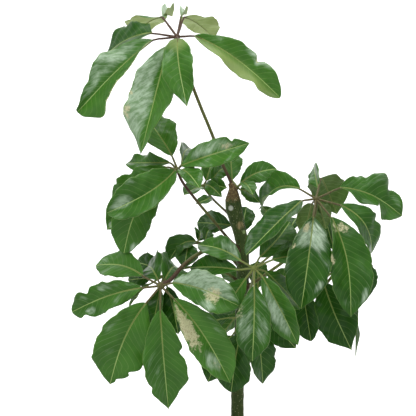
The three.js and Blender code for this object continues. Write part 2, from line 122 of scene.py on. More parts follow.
# Small bumps of a margin: half waves along the blade, and their size over the half width.
MARGIN_BUMPS = [(5, 0.03), (11, 0.024), (19, 0.014), (33, 0.005)]
# Slow buckling of a blade: waves along it and across it, and their height over its width.
BUCKLES = [(1.6, 0.5, 0.014), (2.7, -0.8, 0.011), (4.3, 1.1, 0.008)]

VEIN_SLOPE = 0.42  # how far a side vein runs tipwards, as a share of the blade's width
VEIN_CURVE = 1.2  # over 1, a side vein bends towards the tip
VEIN_STAGGER = 0.35  # how far the right half's veins are out of step with the left's
VEIN_WANDERING = (0.18, 9)  # how far a vein strays, and how often along the blade
FEWEST_VEINS = 4
VEIN_COUNT_START = 4  # keeps the count of side veins over 0 along the whole blade
FULL_QUILT_WIDTH = 60  # narrower blades are quilted less

ROWS = 72  # stretches along a blade
COLUMNS = 20  # stretches across it
END_CROWDING = 0.5  # over 0, the rows stand closer towards both ends
RIB_CROWDING = 1.25  # over 1, the columns stand closer towards the midrib
PATCH_FADE = 1.5  # how much further than its reach a patch fades out
TINT_SPREAD = 0.12  # how far chance makes a blade's green fresher or deeper

# Large soft lamps: bearing from the front and height (degrees), distance and size (m), and share
# of the brightness.
LAMPS = [
    ("lamp_left", -30, 42, 3.2, 1.0, 1.6),
    ("lamp_above", 10, 80, 3.0, 1.3, 0.8),
    ("lamp_right", 60, 40, 3.6, 1.0, 0.4),
]
LAMPS_AIM = (0, 0, 0.7)  # metres
FLAT_FLOOR_SHARE = 0.45  # how much of the room's radius is flat before the cove
WALL_SHARE = 0.9  # the wall's height over the room's radius


def blade(base, tip, width, arch, roll, twist, sweep, fold, tip_power=1.0,
          wave=MARGIN_WAVE_HEIGHT):
    """One blade of a leaf. base and tip are measured from the hub. arch lifts the midrib and
    sweep bends it sideways. roll turns the blade about its length, twist winds it from base to
    tip, and fold lifts its halves into a V (degrees). A low tip_power gives a blunt tip."""
    return {
        "base": base, "tip": tip, "width": width, "arch": arch, "roll": roll, "twist": twist,
        "sweep": sweep, "fold": fold, "tip_power": tip_power, "wave": wave,
    }


def leaf(name, hub, facing, stalk_radius, stalk, blades):
    """A compound leaf: its hub, the way its upper faces look, its long stalk's radius and the
    points that the stalk passes from hub to trunk, and its blades."""
    return {
        "name": name, "hub": hub, "facing": facing, "stalk_radius": stalk_radius,
        "stalk": stalk, "blades": blades,
    }


LEAVES = [
    leaf("leaf_top", (-121, 0, 1013), (0, -0.15, 1), 3.6, [
        (-96, 2, 932), (-76, 2, 879), (-50, 0, 816), (-32, -2, 764), (-18, -2, 734), (-8, 0, 708),
        (-7, 0, 696),
    ], [
        blade((-47, -15, -7), (-194, -40, -148), 92, 8, -40, -50, 0, 35, 0.3),
        blade((-50, 15, 8), (-150, 110, -30), 84, 12, -45, -25, 0, 10),
        blade((-32, 50, 43), (-96, 160, 17), 84, 6, 5, 20, 0, 10),
        blade((-31, 75, 45), (-14, 150, 53), 50, 4, 0, 0, 0, 66),
        blade((13, 50, 43), (74, 165, 9), 74, 6, -12, 0, 0, 10),
        blade((34, -10, 1), (202, -30, -120), 68, 6, 58, 10, -10, 30, 0.6, 0.1),
        blade((-16, -55, -21), (-68, -75, -228), 108, 8, -15, 60, -5, 25),
        blade((3, -50, -7), (22, -130, -138), 72, 14, 15, 5, 4, 30, 1.3),
        blade((6, 75, 46), (16, 140, 56), 37, 3, 0, 0, 0, 67),
    ]),
    leaf("leaf_left", (-119, -60, 754), (0, -0.7, 0.7), 3, [
        (-112, -58, 734), (-82, -46, 692), (-52, -34, 655), (-24, -22, 620), (6, -5, 586),
    ], [
        blade((-11, 10, 26), (-70, 65, 106), 80, 8, 10, 0, -2, 15),
        blade((-15, 22, 12), (-107, 120, 7), 42, 8, -15, 20, -6, 20, 1, 0.14),
        blade((-21, 15, 4), (-134, 70, -61), 64, 10, -45, -20, 0, 20),
        blade((-4, -20, 0), (-131, -70, -78), 86, 10, -20, -30, -12, 35, 0.6),
        blade((-19, 5, -11), (-139, 15, -119), 74, 8, -50, 40, 10, 15),
        blade((-24, -15, -19), (-103, -25, -160), 76, 8, -30, 30, 20, 15, 0.6),
        blade((7, -20, 8), (138, -50, 53), 58, 8, 30, 50, 0, 25, 1, 0.1),
        blade((7, -25, 1), (44, -90, -30), 44, 8, -5, 0, 0, 20),
        blade((8, 20, 10), (22, 110, 38), 40, 4, 40, -30, -8, 25),
    ]),
    leaf("leaf_right", (149, -70, 698), (0, -0.35, 1), 3.4, [
        (148, -64, 672), (136, -48, 631), (102, -30, 581), (56, -16, 543), (10, -4, 509),
    ], [
        blade((-30, 10, 18), (-101, 110, -24), 72, 18, -40, -40, 10, 25, 0.6),
        blade((-28, -10, -3), (-138, -90, -98), 62, 12, 0, 15, -8, 25, 0.6),
        blade((7, 30, 19), (6, 110, 58), 38, 4, -60, -30, 4, 20),
        blade((14, 50, 37), (55, 120, -41), 84, 18, -35, -10, -4, 20),
        blade((48, 15, 20), (179, 70, -40), 94, 10, 38, 30, -8, 20, 1, 0.1),
        blade((45, -15, -11), (112, 15, -106), 68, 24, 35, 0, -2, 15, 0.7),
        blade((25, -35, -32), (61, -70, -218), 96, 12, 5, 40, -10, 30),
        blade((-9, -40, -32), (-34, -80, -201), 94, 10, -15, 30, 0, 25),
        blade((-4, 40, -13), (-18, 90, -84), 50, 6, 50, 0, 0, 15),
        blade((10, 40, -13), (30, 90, -68), 44, 6, -45, -15, 0, 15),
    ]),
    leaf("leaf_front", (26, -150, 574), (0, -0.9, 0.6), 3.2, [
        (27, -125, 559), (22, -60, 518), (8, -6, 479),
    ], [
        blade((-24, 5, 13), (-106, 90, 33), 54, 8, 0, 30, 4, 20),
        blade((11, 5, 20), (74, 100, 77), 60, 8, 10, 0, 4, 10),
        blade((34, 4, 15), (129, 90, 11), 64, 8, 0, 0, 0, 20),
        blade((-30, 5, -4), (-121, 90, -12), 46, 8, -10, 0, 0, 20),
        blade((-15, 0, -19), (-59, 40, -92), 50, 6, 0, 10, -2, 15),
        blade((0, -15, -31), (-4, -35, -169), 72, 8, 5, 0, -2, 25),
        blade((15, -8, -14), (83, -10, -144), 60, 8, 30, 30, -4, 30),
        blade((21, 10, -7), (93, 75, -91), 52, 8, -20, -20, 6, 15),
    ]),
    leaf("leaf_low_left", (-149, -140, 539), (0, -0.75, 0.66), 4.4, [
        (-132, -128, 548), (-110, -104, 570), (-85, -68, 586), (-60, -38, 594), (-24, -18, 588),
        (10, -4, 566),
    ], [
        blade((-34, 10, 17), (-133, 105, 24), 62, 8, -10, 0, 8, 10),
        blade((-35, 0, -4), (-173, 45, -58), 62, 8, -30, -10, 6, 20, 0.6, 0.13),
        blade((-27, -10, -31), (-96, -10, -186), 104, 8, -30, 10, 12, 12),
        blade((0, -25, -41), (14, -10, -234), 88, 8, -5, -35, 2, 25, 1.15),
        blade((25, -15, -22), (131, -10, -184), 84, 10, 16, -20, -8, 28),
        blade((22, -10, 7), (146, -40, -31), 80, 10, 25, 40, -6, 35, 0.6),
        blade((7, 15, 9), (28, 95, 22), 70, 10, 30, -20, -6, 15),
        blade((-6, 15, 9), (-30, 95, 22), 70, 10, -30, -20, 6, 15),
    ]),
    leaf("leaf_low_mid", (15, -45, 460), (0, -0.7, 0.7), 3, [
        (12, -30, 433), (5, -4, 395),
    ], [
        blade((-28, -5, -35), (-75, -25, -123), 64, 8, 5, 15, 0, 20),
        blade((-10, -17, -25), (-30, -45, -138), 80, 8, 10, -40, 0, 25, 0.7),
        blade((21, -17, -17), (32, -35, -124), 66, 8, -30, -25, 4, 15),
        blade((31, -13, 2), (95, -50, -50), 54, 8, 50, -20, -8, 15),
        blade((-31, 15, -3), (-96, 85, -41), 58, 8, -10, 30, 0, 10),
    ]),
    leaf("leaf_low_right", (212, 25, 562), (0, -0.5, 0.85), 3.2, [
        (180, 45, 511), (129, 48, 469), (59, 30, 425), (4, 2, 392),
    ], [
        blade((-82, -15, -43), (-66, -50, -153), 62, 8, 40, -20, -4, 25, 0.7),
        blade((-40, -35, -36), (12, -75, -166), 84, 8, 40, 5, 2, 15, 1.3),
        blade((13, -35, -52), (24, -45, -186), 40, 6, -85, 15, 0, 10),
        blade((35, -21, 20), (48, -40, -67), 62, 8, 0, 10, 8, 15),
        blade((-13, 10, 23), (-28, 45, 81), 40, 6, -60, 15, 4, 20),
    ]),
    leaf("leaf_back_left", (-96, 20, 601), (0, -0.35, 1), 2.6, [
        (-66, 22, 599), (-24, 18, 579), (10, 4, 548),
    ], [
        blade((12, -6, 3), (-42, -40, -33), 50, 12, -15, 40, 8, 25),
        blade((-4, -15, 0), (-11, -60, -42), 48, 6, -10, 0, 0, 15),
        blade((16, 20, 2), (19, 70, 17), 34, 4, 30, 0, 0, 20),
        blade((30, 20, 0), (38, 55, 21), 30, 4, 40, 0, -4, 20),
    ]),
    leaf("leaf_behind", (2, 60, 603), (0, -0.3, 1), 2.4, [
        (4, 40, 599), (9, 3, 592),
    ], [
        blade((-14, 24, 27), (-85, 84, 27), 54, 4, -50, 0, 0, 20),
        blade((6, 4, 14), (18, 40, 65), 46, 4, 15, 10, 0, 20),
    ]),
    leaf("leaf_inner", (-70, 60, 714), (0, -0.35, 1), 2.6, [
        (-52, 50, 690), (-20, 20, 662), (-8, 3, 652),
    ], [
        blade((-2, -5, -2), (-38, -60, -14), 38, 4, -10, 0, 0, 20),
        blade((16, -25, -21), (-14, -60, -32), 24, 4, -20, 10, -4, 20),
        blade((4, -5, 2), (38, -45, -19), 28, 6, 60, 0, -6, 20),
        blade((14, 0, 4), (48, -40, -1), 34, 6, 60, 0, 0, 20),
        blade((6, 5, 10), (18, 50, 51), 40, 6, 20, 0, 0, 15),
        blade((18, 5, 8), (45, 40, 35), 36, 6, 50, 0, -6, 20),
    ]),
    leaf("leaf_young", (-1, 26, 714), (0, -0.3, 1), 2.2, [
        (-4, 16, 705), (-7, 3, 692),
    ], [
        blade((6, -4, 7), (82, 34, 35), 44, 4, 60, -20, -8, 10),
        blade((11, -16, 9), (29, -76, -10), 32, 6, 0, 0, 0, 20),
        blade((6, -4, -5), (44, -36, -29), 30, 6, 75, 0, -8, 20),
        blade((-10, 9, 14), (-12, 54, 81), 50, 4, 30, 0, -4, 15),
    ]),
    leaf("leaf_hanging", (-147, -40, 543), (0, -0.6, 0.8), 2.8, [
        (-106, -22, 556), (-46, 2, 553), (11, 3, 520),
    ], [
        blade((-3, 18, 9), (-57, 60, 19), 48, 8, -40, 0, 0, 15),
        blade((-7, -20, -21), (-26, -35, -111), 46, 6, 20, -20, -6, 20),
        blade((7, -20, -19), (29, -38, -109), 52, 6, 40, 0, -6, 15),
        blade((-24, 5, -3), (-73, 30, -13), 34, 6, -50, 0, 0, 15),
        blade((-27, -5, -15), (-70, 10, -64), 36, 6, 60, -20, 4, 10),
    ]),
    leaf("leaf_far", (117, 110, 597), (0, 0.1, 1), 2.6, [
        (80, 88, 574), (38, 40, 547), (11, 4, 520),
    ], [
        blade((-24, -10, 18), (-65, -20, 73), 46, 6, 20, 20, 4, 15),
        blade((-2, 10, 18), (13, 40, 42), 46, 4, 0, 0, 0, 20),
    ]),
    leaf("leaf_rear", (49, 175, 458), (0, 0.8, 0.6), 3, [
        (44, 120, 454), (27, 60, 440), (5, 4, 422),
    ], [
        blade((x, 5, z), (tip_x, -10, tip_z), 46, 10, 0, 0, 0, 18) for x, z, tip_x, tip_z in [
            (26, -1, 102, -7), (18, 18, 79, 62), (0, 25, -1, 86), (-19, 18, -81, 62),
            (-26, -1, -104, -7), (-18, -20, -77, -73), (0, -28, 0, -101), (19, -20, 76, -73)]
    ]),
]

# How brown each leaf's long stalk and the short stalks of its blades are, from 0, green, to 1.
STALK_BROWN = {
    "leaf_top": (0.85, 1.0), "leaf_low_left": (1.0, 0.6), "leaf_right": (0.6, 0.6),
    "leaf_front": (0.3, 0.0), "leaf_left": (1.0, 0.5), "leaf_inner": (1.0, 0.4),
}
USUAL_BROWN = (0.6, 0.2)
BROWN_AT_TRUNK = 0.35  # what is added where a long stalk clasps the trunk
BASE_BROWN_FADE = 9  # a short stalk's brown ends a ninth of the way up the blade

# How fresh the green of each leaf's blades is, from 0, deep, to 1. This is partly the leaf's own
# tone and partly painted shade: the low values of the inner, lower and rear leaves darken leaves
# that lie in shadow.
FRESHNESS_AND_PAINTED_SHADE = {
    "leaf_top": 0.52, "leaf_left": 0.48, "leaf_right": 0.25, "leaf_front": 0.3,
    "leaf_low_left": 0.38, "leaf_low_mid": -0.08, "leaf_low_right": -0.05, "leaf_young": 0.4,
    "leaf_inner": 0.35, "leaf_hanging": 0.1, "leaf_behind": 0.0, "leaf_far": -0.1,
    "leaf_back_left": 0.15, "leaf_rear": 0.2,
}

# How much fresher than its leaf's other blades a blade is, and, under 0, how much deeper. Under 0
# this is mostly painted shade, darkening blades that lie in shadow.
BLADE_FRESHER_AND_PAINTED_SHADE = {
    ("leaf_top", 1): -0.7, ("leaf_right", 1): -0.5, ("leaf_right", 7): -0.15,
    ("leaf_right", 6): -0.12, ("leaf_right", 0): -0.1, ("leaf_low_left", 4): 0.2,
    ("leaf_low_left", 6): -0.3, ("leaf_low_left", 7): -0.3, ("leaf_left", 8): -0.3,
    ("leaf_front", 3): -0.2,
}

# How pale the undersides of each leaf's blades are, from 0, dark with painted shade, to 1, pale.
UNDER_PALLOR_OVER_PAINTED_SHADE = {"leaf_top": 1.0, "leaf_left": 0.5, "leaf_right": 0.28, "leaf_low_left": 0.4}
USUAL_UNDER_PALLOR_OVER_PAINTED_SHADE = 0.0

# Patches on upper faces: the silvery sheen patches are a painted reflection, bleach is a bleached,
# worn place, and olive is as pale as an underside. Each gives its middle along the blade and across
# it (-1 is the left margin and 1 the right, seen with the tip ahead), how far it reaches both ways,
# and its strength.
# Folded blades: a strong painted silvery reflection and a pale olive patch.
FOLDED_PATCHES = [("painted_sheen", 0.4, 0.0, 0.8, 1.5, 1.8), ("olive", 0.5, 0.0, 0.8, 1.5, 0.5)]
PATCHES = {
    ("leaf_top", 0): [("painted_sheen", 0.5, 0.65, 0.4, 0.4, 1.0), ("bleach", 0.5, -1.0, 0.4, 0.12, 0.8)],
    ("leaf_top", 6): [
        ("painted_sheen", 0.5, 0.62, 0.52, 0.42, 1.5), ("bleach", 0.66, 0.85, 0.08, 0.15, 0.9),
        ("bleach", 0.5, 0.95, 0.04, 0.12, 0.7)],
    ("leaf_top", 7): [("painted_sheen", 0.94, 0.2, 0.08, 0.6, 0.9), ("olive", 0.08, 0.0, 0.14, 1.2, 0.6)],
    ("leaf_top", 5): [
        ("olive", 0.5, 0.8, 0.5, 0.7, 0.7), ("bleach", 0.62, -0.95, 0.05, 0.1, 0.8),
        ("painted_sheen", 0.6, -0.85, 0.15, 0.3, 0.8)],
    ("leaf_top", 3): FOLDED_PATCHES,
    ("leaf_top", 8): FOLDED_PATCHES,
    ("leaf_left", 6): [
        ("painted_sheen", 0.48, -0.5, 0.36, 0.5, 1.0), ("bleach", 0.7, -0.3, 0.12, 0.4, 0.7)],
    ("leaf_left", 3): [("painted_sheen", 0.82, 0.3, 0.14, 0.4, 0.9), ("painted_sheen", 0.6, 0.9, 0.1, 0.2, 0.5)],
    ("leaf_left", 4): [("painted_sheen", 0.92, 0.0, 0.05, 0.5, 0.9)],
    ("leaf_left", 5): [("painted_sheen", 0.9, -0.8, 0.06, 0.3, 0.8)],
    ("leaf_left", 2): [("painted_sheen", 0.35, 0.0, 0.2, 0.8, 0.4)],
    ("leaf_low_left", 5): [
        ("painted_sheen", 0.42, -0.5, 0.42, 0.55, 1.8), ("painted_sheen", 0.6, 0.75, 0.12, 0.3, 0.9),
        ("bleach", 0.62, 0.1, 0.12, 0.5, 0.9)],
    ("leaf_low_left", 4): [
        ("bleach", 0.28, 0.6, 0.25, 0.45, 1.1), ("painted_sheen", 0.72, 0.4, 0.12, 0.4, 1.0),
        ("bleach", 0.76, 0.3, 0.08, 0.3, 0.5), ("painted_sheen", 0.45, -0.85, 0.12, 0.2, 0.4)],
    ("leaf_low_left", 1): [
        ("painted_sheen", 0.4, 0.7, 0.12, 0.3, 0.8), ("painted_sheen", 0.72, -0.6, 0.08, 0.3, 0.8),
        ("painted_sheen", 0.76, 0.5, 0.06, 0.3, 0.5)],
    ("leaf_low_left", 0): [("painted_sheen", 0.85, 0.3, 0.15, 0.5, 0.5)],
    ("leaf_low_left", 3): [("painted_sheen", 0.6, 0.6, 0.2, 0.4, 0.35)],
    ("leaf_low_left", 2): [("painted_sheen", 0.5, 0.6, 0.25, 0.4, 0.3)],
    ("leaf_front", 5): [
        ("painted_sheen", 0.5, 0.5, 0.4, 0.5, 0.45), ("painted_sheen", 0.5, -0.5, 0.4, 0.4, 0.35),
        ("bleach", 0.33, 0.9, 0.15, 0.3, 0.6)],
    ("leaf_front", 6): [("painted_sheen", 0.5, 0.35, 0.3, 0.4, 1.1)],
    ("leaf_front", 0): [("painted_sheen", 0.25, 0.5, 0.2, 0.5, 0.9)],
    ("leaf_front", 2): [("painted_sheen", 0.3, -0.7, 0.2, 0.3, 0.5)],
    ("leaf_right", 7): [
        ("painted_sheen", 0.22, 0.0, 0.13, 1.0, 1.2), ("bleach", 0.15, 0.6, 0.08, 0.3, 0.9),
        ("painted_sheen", 0.58, 0.95, 0.09, 0.16, 0.9), ("painted_sheen", 0.73, -0.75, 0.08, 0.22, 1.1),
        ("bleach", 0.36, 0.9, 0.06, 0.12, 0.7)],
    ("leaf_right", 6): [
        ("bleach", 0.13, -0.4, 0.07, 0.5, 0.8), ("bleach", 0.1, 0.5, 0.07, 0.4, 0.7),
        ("bleach", 0.42, 0.95, 0.06, 0.2, 1.0), ("painted_sheen", 0.78, -0.8, 0.1, 0.16, 0.8),
        ("painted_sheen", 0.88, 0.1, 0.06, 0.5, 0.5)],
    ("leaf_right", 4): [("painted_sheen", 0.4, -0.75, 0.2, 0.3, 0.4), ("painted_sheen", 0.82, -0.6, 0.1, 0.3, 0.6)],
    ("leaf_young", 0): [("painted_sheen", 0.5, 0.0, 0.4, 0.8, 0.4)],
    ("leaf_young", 2): [("painted_sheen", 0.45, -0.3, 0.3, 0.7, 0.9)],
    ("leaf_behind", 0): [("painted_sheen", 0.6, 0.4, 0.4, 0.6, 0.5)],
}

# Notches in margins: the place along the blade, -1 or 1 for the margin, the depth as a share of
# the half width, and the reach along the blade. A depth under 0 makes the margin bulge.
NOTCHES = {
    ("leaf_top", 0): [
        (0.85, 1, 0.45, 0.22), (1.0, 1, 0.5, 0.12), (0.86, -1, -0.75, 0.1)],
    ("leaf_top", 1): [(0.12, 1, -0.6, 0.1), (0.75, 1, -0.15, 0.2)],
    ("leaf_top", 5): [(0.62, -1, 0.35, 0.03), (0.85, -1, -0.1, 0.08), (0.72, 1, 0.25, 0.06)],
    ("leaf_top", 7): [(0.62, -1, 0.22, 0.12)],
    ("leaf_left", 6): [(0.78, -1, 0.4, 0.03)],
    ("leaf_low_left", 1): [(0.68, 1, 0.35, 0.04), (0.8, -1, 0.25, 0.04), (0.35, 1, 0.15, 0.05)],
    ("leaf_low_left", 2): [(0.93, -1, 0.45, 0.025), (0.8, -1, 0.2, 0.03)],
    ("leaf_low_left", 3): [(0.42, -1, 0.15, 0.04), (0.72, 1, 0.12, 0.03)],
    ("leaf_right", 4): [(0.35, -1, 0.2, 0.04), (0.7, -1, 0.25, 0.04), (0.5, 1, 0.45, 0.05)],
    ("leaf_right", 5): [(0.55, -1, 0.2, 0.05)],
    ("leaf_left", 2): [(0.5, 1, 0.25, 0.05), (0.75, 1, 0.2, 0.04)],
}


# ---------------------------------------------------------------- properties

class PlantSizes(bpy.types.PropertyGroup):
    """Sizes of the plant and its pot."""

    pot_height: bpy.props.FloatProperty(
        name="Pot height", description="Height of the pot, from its underside to its lip",
        default=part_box("pot")[1][2], min=0.05, unit="LENGTH")
    blade_thickness: bpy.props.FloatProperty(
        name="Blade thickness", description="Thickness of a leaf's blade",
        default=0.0008, min=0.0002, unit="LENGTH")
    quilting: bpy.props.FloatProperty(
        name="Quilting", description="How far a blade swells up between its side veins",
        default=0.00035, min=0.0, unit="LENGTH")
    vein_spacing: bpy.props.FloatProperty(
        name="Vein spacing", description="Distance between two side veins at the midrib",
        default=0.013, min=0.002, unit="LENGTH")
    seed: bpy.props.IntProperty(
        name="Seed", description="Starts the chance differences between blades and crumbs",
        default=7, min=0)


def colour(name, description, default):
    """A property that holds a colour, given as the linear red, green and blue."""
    return bpy.props.FloatVectorProperty(
        name=name, description=description, default=default, size=3, min=0.0, max=1.0,
        subtype="COLOR")


class PlantColours(bpy.types.PropertyGroup):
    """Colours of the plant, its soil and its pot."""

    leaf_deep: colour("Deep green", "Upper face of a blade, where it is darkest",
                      (0.018, 0.090, 0.004))
    leaf_fresh: colour("Fresh green", "Upper face of a blade, where it is lightest",
                       (0.100, 0.290, 0.035))
    leaf_under: colour("Underside", "Lower face of a pale blade", (0.400, 0.480, 0.170))
    # Painted shade: the underside colour given to blades that lie in shadow.
    leaf_under_painted_shade: colour("Dark underside", "Lower face of a shaded blade",
                            (0.050, 0.135, 0.020))
    leaf_vein: colour("Veins", "Midrib and side veins", (0.480, 0.660, 0.210))
    leaf_bleached: colour("Bleached", "Sun-bleached part of a blade", (0.720, 0.700, 0.430))
    leaf_scorched: colour("Scorched", "Brown specks in a bleached part", (0.300, 0.230, 0.090))
    # Colour of the painted silvery reflection laid on the upper faces.
    leaf_painted_sheen: colour("Bloom", "Waxy bloom on a blade", (0.560, 0.720, 0.530))
    stalk_green: colour("Green stalk", "Young stalk", (0.220, 0.270, 0.070))
    stalk_brown: colour("Brown stalk", "Old stalk", (0.085, 0.048, 0.030))
    bark_green: colour("Green bark", "The trunk's skin", (0.050, 0.086, 0.018))
    bark_brown: colour("Brown bark", "The sheath round the growing tip", (0.120, 0.070, 0.032))
    soil: colour("Potting soil", "Damp potting soil", (0.030, 0.018, 0.011))
    stoneware: colour("Stoneware", "The pot's plain matt finish", (0.440, 0.400, 0.350))


class StudioSetting(bpy.types.PropertyGroup):
    """The floor, the light and the camera."""

    room_radius: bpy.props.FloatProperty(
        name="Room radius", description="How far off the pale backdrop stands on every side",
        default=6.0, min=2.0, unit="LENGTH")
    room_glow: bpy.props.FloatProperty(
        name="Room light", description="Strength of the even light from all round",
        default=0.08, min=0.0)
    backdrop_glow: bpy.props.FloatProperty(
        name="Backdrop light", description="How much the backdrop shines of itself",
        default=0.90, min=0.0)
    lamp_strength: bpy.props.FloatProperty(
        name="Window light", description="Brightness of the large soft lamps",
        default=6.3, min=0.0)
    camera_place: bpy.props.FloatVectorProperty(
        name="Camera place", description="Where the camera stands",
        default=(-0.060, -2.1916, 0.8657), size=3, subtype="TRANSLATION")
    camera_dip: bpy.props.FloatProperty(
        name="Camera dip", description="How far the camera looks down",
        default=math.radians(5), subtype="ANGLE")
    lens: bpy.props.FloatProperty(
        name="Lens", description="Focal length in millimetres on a 36 mm sensor",
        default=95.19, min=10.0)


# ---------------------------------------------------------------- finishes

# Marks on the trunk: the middle, how far it reaches (mm), and the colour.
# The first mark is a painted highlight: a white glint on a shallow scar.
SCAR_AND_PAINTED_GLINT = ((-15, -15, 675), 6.5, (0.72, 0.74, 0.66))
TAN_SCAR = ((4, -12, 640), 10, (0.42, 0.32, 0.16))
PALE_SPOT = ((12, -10, 627), 5, (0.40, 0.52, 0.22))

CLAY_SHADE = (0.31, 0.27, 0.225)
CLAY_GRIT = (0.12, 0.10, 0.085)
DRY_CRUMB = (0.085, 0.052, 0.030)
PALE_GRAIN = (0.55, 0.52, 0.46)
BACKDROP_TONES = ((0.62, 0.62, 0.62), (0.60, 0.60, 0.60))
BACKDROP_DIM = (0.1, 0.1, 0.1)  # how much of its light the backdrop gives where it isn't lit most
BACKDROP_LIT = (1.0, 1.0, 1.0)


class Sum:
    """A value in a material on which ordinary sums can be written."""

    def __init__(self, finish, socket):
        self.finish = finish
        self.socket = socket

    def _work(self, operation, *terms):
        sockets = dict(enumerate(terms))
        return self.finish.node("ShaderNodeMath", {"operation": operation}, sockets)

    def __add__(self, other):
        return self._work("ADD", self, other)

    def __sub__(self, other):
        return self._work("SUBTRACT", self, other)

    def __mul__(self, other):
        return self._work("MULTIPLY", self, other)

    def __rsub__(self, other):
        return self._work("SUBTRACT", other, self)

    def __mod__(self, other):
        return self._work("FLOORED_MODULO", self, other)

    def __abs__(self):
        return self._work("ABSOLUTE", self)

    __radd__ = __add__
    __rmul__ = __mul__


class Finish:
    """A material under construction."""

    def __init__(self, name, **constants):
        self.material = bpy.data.materials.new(name)
        self.material.use_nodes = True
        self.nodes = self.material.node_tree.nodes
        self.links = self.material.node_tree.links
        self.shader = self.nodes["Principled BSDF"]
        for socket, value in constants.items():
            self.shader.inputs[socket.replace("_", " ")].default_value = value
        self.place = self.node("ShaderNodeTexCoord", out="Object")

    def node(self, kind, settings=None, sockets=None, out=0):
        """Adds a node, its settings first and then its sockets, and gives one output."""
        made = self.nodes.new(kind)
        for name, value in (settings or {}).items():
            setattr(made, name, value)
        for name, value in (sockets or {}).items():
            self.feed(value, made.inputs[name])
        return Sum(self, made.outputs[out])

    def feed(self, value, socket):
        """Links a value to a socket, or sets the socket where the value is plain."""
        if isinstance(value, Sum):
            self.links.new(value.socket, socket)
        elif socket.type == "RGBA" and len(value) == 3:
            socket.default_value = (*value, 1)
        else:
            socket.default_value = value

    def mixed(self, first, second, share):
        """One colour fading into another by a share from 0 to 1."""
        return self.node("ShaderNodeMix", {"data_type": "RGBA", "clamp_factor": True},
                         {0: share, 6: first, 7: second}, out=2)

    def rise(self, value, low, high):
        """0 below low, 1 above high, and a soft step between them."""
        return self.node(
            "ShaderNodeMapRange", {"interpolation_type": "SMOOTHSTEP"},
            {"Value": value, "From Min": low, "From Max": high})

    def own(self, name):
        """A number that the piece's mesh carries."""
        settings = {"attribute_type": "GEOMETRY", "attribute_name": name}
        return self.node("ShaderNodeAttribute", settings, out="Fac")

    def cloud(self, scale, detail=3.0, roughness=0.55, place=None):
        """Soft noise between 0 and 1, with about scale blotches a metre."""
        return self.node("ShaderNodeTexNoise", None, {
            "Vector": place or self.place, "Scale": scale, "Detail": detail,
            "Roughness": roughness}, out="Fac")

    def cells(self, scale):
        """Distance from scattered points, about scale of them a metre."""
        return self.node("ShaderNodeTexVoronoi", None,
                         {"Vector": self.place, "Scale": scale}, out="Distance")

    def stretched(self, scale):
        """Object coordinates scaled by x, y and z."""
        return self.node("ShaderNodeMapping", None, {"Vector": self.place, "Scale": scale})

    def near(self, spot_mm, reach_mm):
        """1 at a spot on the object, falling softly to 0 at a distance from it."""
        spot = tuple(value * MM for value in spot_mm)
        away = self.node("ShaderNodeVectorMath", {"operation": "DISTANCE"},
                         {0: self.place, 1: spot}, out="Value")
        return 1 - self.rise(away, reach_mm * MM * 0.55, reach_mm * MM)

    def bump(self, height, distance, strength=1.0):
        """A relief whose full height is distance."""
        return self.node("ShaderNodeBump", None,
                         {"Height": height, "Distance": distance, "Strength": strength},
                         out="Normal")

    def wear(self, **sockets):
        """Feeds what changes over the surface into the shader, and gives the material."""
        for name, value in sockets.items():
            self.feed(value, self.shader.inputs[name.replace("_", " ")])
        return self.material


def side_vein_line(finish, half_width):
    """1 on a blade's side veins and 0 between them."""
    phase = finish.own("side_vein") % 1.0
    return 1 - finish.rise(0.5 - abs(phase - 0.5), 0.0, half_width)


def rib_line(finish, at_base_mm, at_tip_mm):
    """1 on a blade's midrib, which is narrower towards the tip."""
    width = at_base_mm - finish.own("along") * (at_base_mm - at_tip_mm)
    return 1 - finish.rise(finish.own("rib_mm") - width, -0.25, 0.45)


